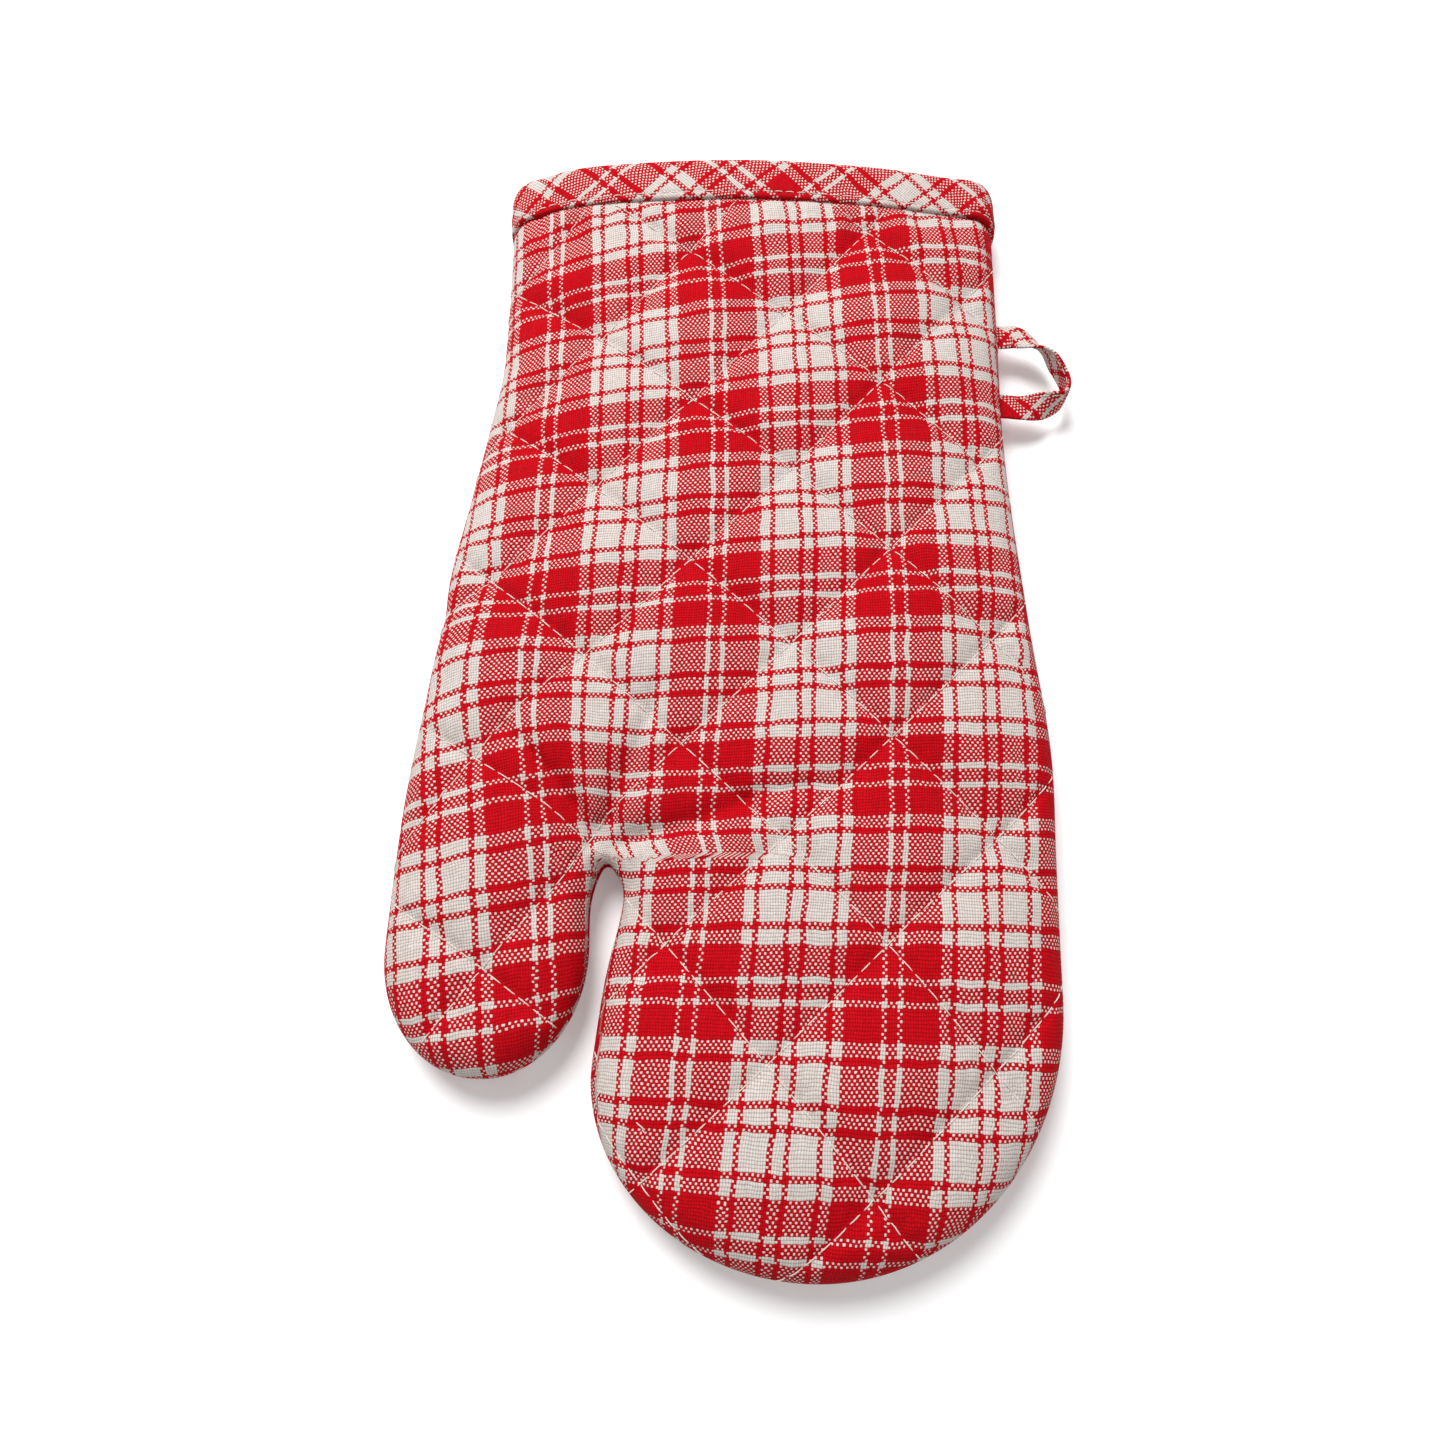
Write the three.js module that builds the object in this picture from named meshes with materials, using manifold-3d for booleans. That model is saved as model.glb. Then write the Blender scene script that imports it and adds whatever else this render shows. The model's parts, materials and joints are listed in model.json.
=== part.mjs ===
// A quilted oven mitt, lying flat with its palm side up.
// Units are millimetres, +Z is up, the fingers point along -Y and the cuff along +Y.
// The mitt is worked out from its fingertip: x = 0 and y = 0 there, with y growing towards the cuff.
// At the end the whole group is moved so that the middle of its base is the origin.
import * as THREE from "three";
import { mergeVertices } from "three/addons/utils/BufferGeometryUtils.js";
import Module from "manifold-3d";

const wasm = await Module();
wasm.setup();

// ---- Driving dimensions ----

const MITT_LENGTH = 385; // fingertip to cuff edge
const SEAM_HEIGHT = 11; // the side seams lie this high above the table
const PALM_RISE = 21.5; // height of the palm side above the seams, over the hand
const FINGER_RISE = 17; // the same over the fingers
const THUMB_RISE = 16; // the same over the thumb

const FINGER_TIP_LEFT = { across: 64.5, along: 56 }; // quarter ellipse on the thumb side of the fingertip
const FINGER_TIP_RIGHT = { across: 76.5, along: 82 }; // quarter ellipse on the other side
const CROTCH = { x: -65, y: 120 }; // where the thumb leaves the hand
const THUMB_TIP = { x: -99, y: 54 };
const THUMB_HALF = { left: 32, right: 31 }; // thumb width either side of its tip
const THUMB_TIP_LENGTH = 38; // length of the thumb's rounded end
const THUMB_ROOT = 238; // the thumb's form runs on inside the hand up to here
const CUFF_LEFT = -109;
const CUFF_RIGHT = 79;
const HAND_RIGHT = 80.5; // widest stretch on the side away from the thumb
const WRIST_RIGHT = 75; // narrowest stretch on that side

const SHELL = 1.0; // woven cotton outside
const BATTING = 4.2; // wadding
const LINING = 0.9; // plain cotton inside
const GAP = 0.3; // clearance between neighbouring pieces

const BINDING_DEPTH = 18; // bias tape showing outside the cuff
const BINDING_THICKNESS = 1.0;
const BINDING_EASE = 7; // the quilt is pressed thin over this length, before the tape
const PRESSED_BATTING = 2.2; // wadding under the tape
const STITCH_INSET = 2; // topstitch to the edge of the tape
const THREAD_WIDTH = 0.8;
const THREAD_DEPTH = 0.4;

const SEAM_ALLOWANCE = 8; // cloth turned inside along the side seams
const SEAM_THICKNESS = 1.3;
const SEAM_RECESS = 0.6; // the seam line lies this far inside the puffed edge

const FINGER_FOLD_Y = 112; // knuckle fold
const THUMB_FOLD_ANGLE = THREE.MathUtils.degToRad(42); // thumb fold, from the crotch up and out to the side

const TAPE_WIDTH = 10; // hang loop
const TAPE_THICKNESS = 1.6;
const TAIL_LENGTH = 7; // loop end caught in the seam
const LOOP_REACH = 24; // seam to the loop's tip
const LOOP_FROM_CUFF = 64; // cuff edge to where the tape first enters the seam
const LOOP_SPREAD = 30; // between the two places where the tape enters the seam
const LOOP_TIP_DROP = 22; // how far the loop's tip lies from the first of them, towards the fingers
const LOOP_CLEAR = 1.6; // seam to the line that the loop swings about

const WRIST_Y = 265; // narrowest place

const SECTION_POINTS = 18; // around a cross-section
const ROUND_FACETS = 24; // around the loop's rounded ends
const HIGH = 200; // larger than any size across the mitt

// ---- Small helpers ----

// Smooth curve through [y, value] knots, read at y.
function through(knots, y) {
  const last = knots.length - 1;
  if (y <= knots[0][0]) return knots[0][1];
  if (y >= knots[last][0]) return knots[last][1];
  const i = knots.findIndex(([at]) => at > y) - 1;
  const slope = (k) => {
    const a = knots[Math.max(k - 1, 0)];
    const b = knots[Math.min(k + 1, last)];
    return (b[1] - a[1]) / (b[0] - a[0]);
  };
  const [y0, v0] = knots[i];
  const [y1, v1] = knots[i + 1];
  const span = y1 - y0;
  const t = (y - y0) / span;
  return (
    v0 * (1 + 2 * t) * (1 - t) ** 2 +
    v1 * t * t * (3 - 2 * t) +
    slope(i) * span * t * (1 - t) ** 2 -
    slope(i + 1) * span * t * t * (1 - t)
  );
}

// Rises from 0 to 1 as a quarter ellipse while distance goes from 0 to length.
const quarter = (distance, length) => Math.sqrt(1 - (1 - THREE.MathUtils.clamp(distance / length, 0, 1)) ** 2);

// A closed geometry as a solid that can be cut and joined.
function solidOf(geometry) {
  const bare = new THREE.BufferGeometry();
  bare.setAttribute("position", geometry.getAttribute("position"));
  bare.setIndex(geometry.index);
  const merged = mergeVertices(bare, 1e-4);
  return new wasm.Manifold(
    new wasm.Mesh({
      numProp: 3,
      vertProperties: new Float32Array(merged.attributes.position.array),
      triVerts: new Uint32Array(merged.index.array),
    }),
  );
}

// A solid back as a geometry, ready to be drawn.
function geometryOf(solid) {
  const { numProp, numVert, vertProperties, triVerts } = solid.getMesh();
  const position = new Float32Array(numVert * 3);
  for (let i = 0; i < numVert; i++) {
    position.set(vertProperties.subarray(i * numProp, i * numProp + 3), i * 3);
  }
  const geometry = new THREE.BufferGeometry();
  geometry.setAttribute("position", new THREE.BufferAttribute(position, 3));
  geometry.setIndex(new THREE.BufferAttribute(triVerts, 1));
  geometry.computeVertexNormals();
  return geometry;
}

// A box between two corners.
function block(low, high) {
  const size = high.map((v, i) => v - low[i]);
  const middle = high.map((v, i) => (v + low[i]) / 2);
  return solidOf(new THREE.BoxGeometry(...size).translate(...middle));
}

// A prism over an outline of [x, y] points, through the mitt's whole height.
function prism(outline) {
  const shape = new THREE.Shape(outline.map(([x, y]) => new THREE.Vector2(x, y)));
  const geometry = new THREE.ExtrudeGeometry(shape, { depth: 2 * HIGH, bevelEnabled: false });
  return solidOf(geometry.translate(0, 0, -HIGH));
}

// A closed skin over rings of points, all with the same count. A ring may shrink to one point.
function skin(rings) {
  const count = rings[0].length;
  const position = rings.flat(2);
  const index = [];
  for (let r = 0; r + 1 < rings.length; r++) {
    for (let k = 0; k < count; k++) {
      const a = r * count + k;
      const b = r * count + ((k + 1) % count);
      index.push(a, b + count, b, a, a + count, b + count);
    }
  }
  const top = (rings.length - 1) * count;
  for (let k = 1; k + 1 < count; k++) {
    index.push(0, k, k + 1, top, top + k + 1, top + k);
  }
  const geometry = new THREE.BufferGeometry();
  geometry.setAttribute("position", new THREE.Float32BufferAttribute(position, 3));
  geometry.setIndex(index);
  return geometry;
}

// ---- The mitt's form ----

const BINDING_Y = MITT_LENGTH - BINDING_DEPTH;
const EASE_Y = BINDING_Y - BINDING_EASE;
const CUFF_MIDDLE_Y = (WRIST_Y + MITT_LENGTH) / 2;
const LOOP_REAR_Y = MITT_LENGTH - LOOP_FROM_CUFF;
const LOOP_FRONT_Y = LOOP_REAR_Y - LOOP_SPREAD;
const LOOP_TIP_Y = LOOP_REAR_Y - LOOP_TIP_DROP;

const HAND_LEFT_EDGE = [
  [FINGER_TIP_LEFT.along, -FINGER_TIP_LEFT.across],
  [84, -61],
  [102, -58],
  [112, -59],
  [128, CROTCH.x - 6],
  [148, -92],
  [170, -111],
  [194, -120],
  [215, -121.5],
  [247, -116.5],
  [280, -111.5],
  [305, CUFF_LEFT + 0.5],
  [MITT_LENGTH, CUFF_LEFT],
];
const HAND_RIGHT_EDGE = [
  [FINGER_TIP_RIGHT.along, FINGER_TIP_RIGHT.across],
  [118, HAND_RIGHT - 2],
  [155, HAND_RIGHT],
  [200, HAND_RIGHT - 3],
  [WRIST_Y, WRIST_RIGHT],
  [CUFF_MIDDLE_Y, (WRIST_RIGHT + CUFF_RIGHT) / 2],
  [MITT_LENGTH, CUFF_RIGHT],
];
const THUMB_LEFT_EDGE = [
  [THUMB_TIP.y + THUMB_TIP_LENGTH, THUMB_TIP.x - THUMB_HALF.left],
  [136, -129.5],
  [170, -126],
  [200, -122],
  [THUMB_ROOT, -112],
];
const THUMB_RIGHT_EDGE = [
  [THUMB_TIP.y + THUMB_TIP_LENGTH, THUMB_TIP.x + THUMB_HALF.right],
  [108, CROTCH.x - 3],
  [CROTCH.y, CROTCH.x + 1],
  [150, -52],
  [THUMB_ROOT, -52],
];
const HAND_RISE = [
  [0, FINGER_RISE],
  [FINGER_FOLD_Y, FINGER_RISE],
  [190, PALM_RISE],
  [MITT_LENGTH, PALM_RISE],
];

// The main lobe, from the fingertips to the cuff, and the thumb's lobe.
// left, right and rise are read at y; inset is how far the wanted skin lies inside the mitt's outside.
const HAND_LOBE = {
  stations: [0, 2, 7, 16, 32, 56, 84, 106, 128, 150, 180, 215, WRIST_Y, (WRIST_Y + EASE_Y) / 2, EASE_Y, BINDING_Y],
  end: MITT_LENGTH,
  tipRound: 26,
  left: (y, inset) => {
    const { across, along } = FINGER_TIP_LEFT;
    return y < along
      ? -(across - inset) * quarter(y - inset, along - inset)
      : through(HAND_LEFT_EDGE, y) + inset;
  },
  right: (y, inset) => {
    const { across, along } = FINGER_TIP_RIGHT;
    return y < along
      ? (across - inset) * quarter(y - inset, along - inset)
      : through(HAND_RIGHT_EDGE, y) - inset;
  },
  rise: (y) => through(HAND_RISE, y),
};
const THUMB_LOBE = {
  stations: [0, 2, 7, 16, 34, 62, 100, 146].map((d) => THUMB_TIP.y + d),
  end: THUMB_ROOT,
  tipRound: 24,
  left: (y, inset) => {
    const reach = THUMB_HALF.left - inset;
    const d = y - THUMB_TIP.y;
    return d < THUMB_TIP_LENGTH
      ? THUMB_TIP.x - reach * quarter(d - inset, THUMB_TIP_LENGTH - inset)
      : through(THUMB_LEFT_EDGE, y) + inset;
  },
  right: (y, inset) => {
    const reach = THUMB_HALF.right - inset;
    const d = y - THUMB_TIP.y;
    return d < THUMB_TIP_LENGTH
      ? THUMB_TIP.x + reach * quarter(d - inset, THUMB_TIP_LENGTH - inset)
      : through(THUMB_RIGHT_EDGE, y) - inset;
  },
  rise: () => THUMB_RISE,
};

// One cross-section of a lobe: domed above the seams, flat below with rounded edges.
function ring(lobe, y, inset) {
  const start = lobe.stations[0];
  const left = lobe.left(y, inset);
  const right = lobe.right(y, inset);
  const round = quarter(y - start - inset, lobe.tipRound - inset);
  const rise = (lobe.rise(y) - inset) * round;
  const drop = (SEAM_HEIGHT - inset) * quarter(y - start - inset, lobe.tipRound / 2);
  const points = [];
  for (let k = 0; k < SECTION_POINTS; k++) {
    const turn = (2 * Math.PI * k) / SECTION_POINTS;
    const u = Math.cos(turn);
    const above = Math.sin(turn) >= 0;
    const bulge = Math.sqrt(1 - Math.min(1, Math.abs(u)) ** (above ? 2.5 : 3));
    const z = above ? rise * bulge : -drop * Math.min(1, 1.25 * bulge);
    points.push([(left + right) / 2 + ((right - left) / 2) * u, y, SEAM_HEIGHT + z]);
  }
  return points;
}

// A lobe's solid with its skin drawn in by inset, or by pressed where the cuff's tape holds it.
// An open solid runs on past the cuff, so that what is cut with it has a mouth.
function lobeSolid(lobe, inset, pressed, open) {
  const start = lobe.stations[0];
  const easing = (y) => THREE.MathUtils.smoothstep(y, EASE_Y, BINDING_Y);
  const rings = lobe.stations.map((at) => {
    const y = Math.max(at, start) + (at - start < lobe.tipRound ? inset : 0);
    return ring(lobe, y, THREE.MathUtils.lerp(inset, pressed, easing(y)));
  });
  rings.push(ring(lobe, lobe.end, lobe.end > BINDING_Y ? pressed : inset));
  if (open) {
    rings.push(rings.at(-1).map(([x, y, z]) => [x, y + open, z]));
  }
  return solidOf(skin(rings));
}

// The whole mitt's form at one inset: both lobes joined.
function form(inset, pressed = inset, open = 0) {
  return lobeSolid(HAND_LOBE, inset, pressed, open).add(lobeSolid(THUMB_LOBE, inset, inset, 0));
}

// ---- The layers, from the outside in ----

// Each skin is [inset over the mitt, inset under the cuff's tape].
const SKINS = (() => {
  const made = {};
  let inset = 0;
  let pressed = BINDING_THICKNESS + GAP;
  const layer = (name, thick, thin) => {
    made[name] = { outer: [inset, pressed], inner: [inset + thick, pressed + thin] };
    inset += thick + GAP;
    pressed += thin + GAP;
  };
  layer("shell", SHELL, SHELL);
  layer("batting", BATTING, PRESSED_BATTING);
  layer("lining", LINING, LINING);
  return made;
})();
const MOUTH_INSET = SKINS.lining.inner[1] + GAP; // the tape's inner leg starts here
const OPEN = 5; // how far a cutting form runs past the cuff

// Half spaces above and below the seam allowances.
const SEAM_HALF = SEAM_THICKNESS / 2;
const ABOVE = block([-HIGH, -HIGH, SEAM_HEIGHT + SEAM_HALF + GAP], [HIGH, 3 * HIGH, HIGH]);
const BELOW = block([-HIGH, -HIGH, -HIGH], [HIGH, 3 * HIGH, SEAM_HEIGHT - SEAM_HALF - GAP]);

// Outlines that part the mitt at its folds. Each keeps half the gap to its neighbour.
const ALONG_FOLD = { x: -Math.cos(THUMB_FOLD_ANGLE), y: Math.sin(THUMB_FOLD_ANGLE) };
const TO_THUMB = { x: -ALONG_FOLD.y, y: ALONG_FOLD.x };
const foldPoint = (distance, aside) => [
  CROTCH.x + ALONG_FOLD.x * distance + TO_THUMB.x * aside,
  CROTCH.y + ALONG_FOLD.y * distance + TO_THUMB.y * aside,
];
const HALF_GAP = GAP / 2;
const FINGER_REGION = prism([
  [CROTCH.x + HALF_GAP, -HIGH],
  [HIGH, -HIGH],
  [HIGH, FINGER_FOLD_Y - HALF_GAP],
  [CROTCH.x + HALF_GAP, FINGER_FOLD_Y - HALF_GAP],
]);
const THUMB_REGION = prism([
  [-HIGH, -HIGH],
  [CROTCH.x - HALF_GAP, -HIGH],
  [CROTCH.x - HALF_GAP, foldPoint(0, HALF_GAP)[1]],
  foldPoint(0, HALF_GAP),
  foldPoint(HIGH, HALF_GAP),
]);
const HAND_REGION = prism([
  [CROTCH.x + HALF_GAP, FINGER_FOLD_Y + HALF_GAP],
  [HIGH, FINGER_FOLD_Y + HALF_GAP],
  [HIGH, 3 * HIGH],
  [-2 * HIGH, 3 * HIGH],
  foldPoint(2 * HIGH, -HALF_GAP),
  foldPoint(0, -HALF_GAP),
  [CROTCH.x + HALF_GAP, CROTCH.y],
]);
const REGIONS = { hand: HAND_REGION, fingers: FINGER_REGION, thumb: THUMB_REGION };

// ---- Materials ----

const fabric = (color, roughness) => new THREE.MeshStandardMaterial({ color, roughness, metalness: 0 });
const CHECK = fabric(0xcf5560, 0.9); // red and white check, at its mean colour
const WADDING = fabric(0xf2efe6, 1);
const LINEN = fabric(0xe6e2d8, 0.95);
const BIAS_TAPE = fabric(0xd36a70, 0.9);
const THREAD = fabric(0xefe9dc, 0.8);

// ---- The pieces ----

const mitt = new THREE.Group();
function place(group, name, solid, material) {
  const mesh = new THREE.Mesh(geometryOf(solid), material);
  mesh.name = name;
  group.add(mesh);
}

// The quilted walls: three layers on each side, parted at the folds.
const bodies = Object.fromEntries(
  Object.keys(REGIONS).map((name) => [name, new THREE.Group()]),
);
for (const [layer, material] of [["shell", CHECK], ["batting", WADDING], ["lining", LINEN]]) {
  const { outer, inner } = SKINS[layer];
  const wall = form(...outer)
    .subtract(form(...inner, OPEN))
    .subtract(block([-HIGH, MITT_LENGTH - BINDING_THICKNESS - GAP, -HIGH], [HIGH, 3 * HIGH, HIGH]));
  for (const [side, half] of [["palm", ABOVE], ["back", BELOW]]) {
    for (const [body, region] of Object.entries(REGIONS)) {
      place(bodies[body], `${side}_${layer}_${body}`, wall.intersect(half).intersect(region), material);
    }
  }
}

// The tape's two tails, caught in the side seam, and the line that the loop swings about.
const seamEdge = (y) => HAND_LOBE.right(y, 0);
const LOOP_AXIS_X = Math.max(seamEdge(LOOP_REAR_Y), seamEdge(LOOP_FRONT_Y)) + LOOP_CLEAR;
const TAIL_END_X = LOOP_AXIS_X - TAPE_THICKNESS / 2 - GAP;
const tail = (y, grow) =>
  block(
    [TAIL_END_X - TAIL_LENGTH - grow, y - TAPE_WIDTH / 2 - grow, SEAM_HEIGHT - SEAM_HALF - grow],
    [TAIL_END_X, y + TAPE_WIDTH / 2 + grow, SEAM_HEIGHT + SEAM_HALF + grow],
  );
const TAILS = { rear: LOOP_REAR_Y, front: LOOP_FRONT_Y };

// Seam allowances: the turned-in edges that join the two sides, all round.
const allowances = form(SEAM_RECESS)
  .subtract(form(SEAM_RECESS + SEAM_ALLOWANCE, SEAM_RECESS + SEAM_ALLOWANCE, OPEN))
  .intersect(block([-HIGH, -HIGH, SEAM_HEIGHT - SEAM_HALF], [HIGH, EASE_Y - GAP, SEAM_HEIGHT + SEAM_HALF]))
  .subtract(tail(LOOP_REAR_Y, GAP))
  .subtract(tail(LOOP_FRONT_Y, GAP));
place(bodies.fingers, "seam_allowance_fingers", allowances.intersect(FINGER_REGION), LINEN);
place(bodies.thumb, "seam_allowance_thumb", allowances.intersect(THUMB_REGION), LINEN);
const alongHand = allowances
  .intersect(HAND_REGION)
  .decompose()
  .sort((a, b) => a.boundingBox().min[0] - b.boundingBox().min[0]);
["left", "crotch", "right"].forEach((where, i) => {
  place(bodies.hand, `seam_allowance_${where}`, alongHand[i], LINEN);
});
for (const [end, y] of Object.entries(TAILS)) {
  place(bodies.hand, `loop_tail_${end}`, tail(y, 0), BIAS_TAPE);
}

// Bias tape folded over the raw edge of the cuff, with a groove that its topstitch lies in.
const slabY = (from, to) => block([-HIGH, from, -HIGH], [HIGH, to, HIGH]);
const tapeInner = MOUTH_INSET + BINDING_THICKNESS;
const stitchY = BINDING_Y + GAP + STITCH_INSET;
const groove = form(-1).subtract(form(THREAD_DEPTH + GAP, THREAD_DEPTH + GAP, OPEN));
const binding = form(0)
  .subtract(form(tapeInner, tapeInner, OPEN))
  .intersect(slabY(BINDING_Y + GAP, MITT_LENGTH))
  .subtract(
    form(BINDING_THICKNESS)
      .subtract(form(MOUTH_INSET, MOUTH_INSET, OPEN))
      .intersect(slabY(0, MITT_LENGTH - BINDING_THICKNESS)),
  )
  .subtract(groove.intersect(slabY(stitchY - GAP, stitchY + THREAD_WIDTH + GAP)));
place(bodies.hand, "cuff_binding", binding, BIAS_TAPE);
place(
  bodies.hand,
  "binding_topstitch",
  form(0).subtract(form(THREAD_DEPTH, THREAD_DEPTH, OPEN)).intersect(slabY(stitchY, stitchY + THREAD_WIDTH)),
  THREAD,
);

// The hang loop: tape that leaves the seam flat, twists to stand on edge at the tip, and comes back flat.
const LOOP_STEPS = 26;
const loopPath = new THREE.CatmullRomCurve3(
  [
    [0, LOOP_REAR_Y],
    [0.3, LOOP_REAR_Y],
    [0.72, LOOP_REAR_Y - 7],
    [1, LOOP_TIP_Y + 2],
    [0.94, LOOP_TIP_Y - 5],
    [0.62, LOOP_FRONT_Y + 1],
    [0.3, LOOP_FRONT_Y],
    [0, LOOP_FRONT_Y],
  ].map(([share, y]) => new THREE.Vector3(LOOP_AXIS_X + share * (LOOP_REACH - LOOP_CLEAR), y, SEAM_HEIGHT)),
);
const up = new THREE.Vector3(0, 0, 1);
const loopRings = [];
for (let i = 0; i <= LOOP_STEPS; i++) {
  const s = i / LOOP_STEPS;
  const centre = loopPath.getPointAt(s);
  const tangent = loopPath.getTangentAt(s);
  const outward = new THREE.Vector3().crossVectors(up, tangent).normalize();
  const twist = (Math.PI / 2) * THREE.MathUtils.smoothstep(Math.min(s, 1 - s), 0.02, 0.34);
  const across = outward.clone().multiplyScalar(-Math.cos(twist)).addScaledVector(up, Math.sin(twist));
  const normal = new THREE.Vector3().crossVectors(tangent, across);
  const corners = [[-1, -1], [-1, 1], [1, 1], [1, -1]];
  loopRings.push(
    corners.map(([a, n]) =>
      centre
        .clone()
        .addScaledVector(across, (a * TAPE_WIDTH) / 2)
        .addScaledVector(normal, (n * TAPE_THICKNESS) / 2)
        .toArray(),
    ),
  );
}
// Its two ends are rounded about the line that it swings about, so that they turn clear of the tails.
const roundEnd = (y) =>
  solidOf(
    new THREE.CylinderGeometry(TAPE_THICKNESS / 2, TAPE_THICKNESS / 2, TAPE_WIDTH, ROUND_FACETS).translate(
      LOOP_AXIS_X,
      y,
      SEAM_HEIGHT,
    ),
  );
bodies.loop = new THREE.Group();
place(
  bodies.loop,
  "hang_loop",
  solidOf(skin(loopRings)).add(roundEnd(LOOP_REAR_Y)).add(roundEnd(LOOP_FRONT_Y)),
  BIAS_TAPE,
);

// ---- Placing ----

// The folds' hinge lines lie on top of the palm side, so that folding up only opens the joints.
export const HINGES = {
  finger_fold: { point: [0, FINGER_FOLD_Y, SEAM_HEIGHT + FINGER_RISE], axis: [-1, 0, 0] },
  thumb_fold: {
    point: [...foldPoint(0, 0), SEAM_HEIGHT + THUMB_RISE],
    axis: [ALONG_FOLD.x, ALONG_FOLD.y, 0],
  },
  loop_swing: { point: [LOOP_AXIS_X, (LOOP_REAR_Y + LOOP_FRONT_Y) / 2, SEAM_HEIGHT], axis: [0, -1, 0] },
};

mitt.add(...Object.values(bodies));
const bounds = new THREE.Box3().setFromObject(mitt, true);
const middle = bounds.getCenter(new THREE.Vector3());
mitt.position.set(-middle.x, -middle.y, -bounds.min.z);

export default mitt;
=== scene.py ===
"""The looks of a quilted oven mitt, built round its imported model.

The mitt lies palm side up, fingers towards -Y. Shapes are worked out in millimetres in the mitt's own
plan, whose x = 0, y = 0 is the fingertip, and become metres in the model's frame when a mesh is made.
"""

import json
import math

import bmesh
import bpy
import numpy as np
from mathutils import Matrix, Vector, geometry, interpolate
from mathutils.bvhtree import BVHTree


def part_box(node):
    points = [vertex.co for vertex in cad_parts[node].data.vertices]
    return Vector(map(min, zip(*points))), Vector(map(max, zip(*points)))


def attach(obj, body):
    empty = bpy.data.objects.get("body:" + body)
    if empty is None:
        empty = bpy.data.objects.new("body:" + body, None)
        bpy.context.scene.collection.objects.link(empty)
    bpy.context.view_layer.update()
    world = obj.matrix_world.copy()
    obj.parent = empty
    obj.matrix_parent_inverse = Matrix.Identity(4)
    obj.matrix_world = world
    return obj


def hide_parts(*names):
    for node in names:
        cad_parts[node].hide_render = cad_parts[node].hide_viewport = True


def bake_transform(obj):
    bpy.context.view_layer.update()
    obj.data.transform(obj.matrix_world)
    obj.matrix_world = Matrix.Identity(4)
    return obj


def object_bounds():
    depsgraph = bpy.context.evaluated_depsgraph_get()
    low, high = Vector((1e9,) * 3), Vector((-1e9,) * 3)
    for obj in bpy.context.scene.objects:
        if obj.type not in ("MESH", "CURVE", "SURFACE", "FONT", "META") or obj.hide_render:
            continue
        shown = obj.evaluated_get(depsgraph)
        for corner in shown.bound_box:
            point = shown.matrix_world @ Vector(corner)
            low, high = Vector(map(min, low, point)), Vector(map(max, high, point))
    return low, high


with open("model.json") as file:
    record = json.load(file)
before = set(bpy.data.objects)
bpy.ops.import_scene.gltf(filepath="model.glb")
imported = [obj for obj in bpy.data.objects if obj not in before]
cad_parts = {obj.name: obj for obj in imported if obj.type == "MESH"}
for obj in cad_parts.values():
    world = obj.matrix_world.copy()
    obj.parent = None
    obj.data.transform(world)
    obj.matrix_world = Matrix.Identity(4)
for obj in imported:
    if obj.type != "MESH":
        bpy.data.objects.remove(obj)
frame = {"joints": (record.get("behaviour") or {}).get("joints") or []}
CAD_BOX = [list(corner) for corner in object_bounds()]

# ---- Sizes, in millimetres ----

MM = 0.001  # one millimetre in metres
JOINTS = {joint["name"]: joint for joint in frame["joints"]}
TIP_X = JOINTS["finger_fold"]["pos_m"][0] / MM  # the fingertip's place in the model's frame
TIP_Y = CAD_BOX[0][1] / MM
LENGTH = (CAD_BOX[1][1] - CAD_BOX[0][1]) / MM
TAPE = 19.0  # the cuff's tape, from the cuff's edge to its sewn edge
BINDING_Y = LENGTH - TAPE
SEAM_Z = (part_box("seam_allowance_right")[0].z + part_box("seam_allowance_right")[1].z) / 2 / MM
PALM_RISE = CAD_BOX[1][2] / MM - SEAM_Z
FINGER_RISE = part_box("palm_shell_fingers")[1].z / MM - SEAM_Z
FINGER_FOLD_Y = JOINTS["finger_fold"]["pos_m"][1] / MM - TIP_Y
CROTCH = (JOINTS["thumb_fold"]["pos_m"][0] / MM - TIP_X, JOINTS["thumb_fold"]["pos_m"][1] / MM - TIP_Y)
FOLD_AXIS = JOINTS["thumb_fold"]["axis"]
TO_THUMB = np.array([-FOLD_AXIS[1], FOLD_AXIS[0]])  # across the thumb fold, towards the thumb's tip

FINGER_TIP_LEFT = (66.5, 56)  # the fingertip's two quarter ellipses: across, along
FINGER_TIP_RIGHT = (76.5, 82)
THUMB_TIP = (-99, 54)
THUMB_HALF = (32, 31)
THUMB_TIP_LENGTH = 38

WALL_DEPTHS = (0, 5.3)  # shell and wadding, from the outside in
LINING_DEPTHS = (5.6, 6.2)
EDGE_ROUND_PALM = 12.0  # how far in from the seam the edge is rounded over
EDGE_ROUND_BACK = 9.0
EDGE_SHARE = 0.62  # of the palm side's rise, what the rounded edge takes up
DOME_REACH = 18.0
KNUCKLES_Y = 99  # below the crotch, where the palm side creases across
OUTLINE_STEP = 2.6
GRID_STEP = 3.0
EDGE_RINGS = 8

# The check, in the cloth's own millimetres.
WARP_REPEAT, WARP_THREADS = 59.5, 76
WEFT_REPEAT, WEFT_THREADS = 67.5, 66
WARP_ORDER = [4, 2, 14, 4, 2, 10, 2, 4, 2, 10, 2, 4, 14, 2]  # threads of red and white in turn
WEFT_ORDER = [4, 2, 9, 4, 2, 10, 2, 4, 2, 10, 2, 4, 9, 2]

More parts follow.
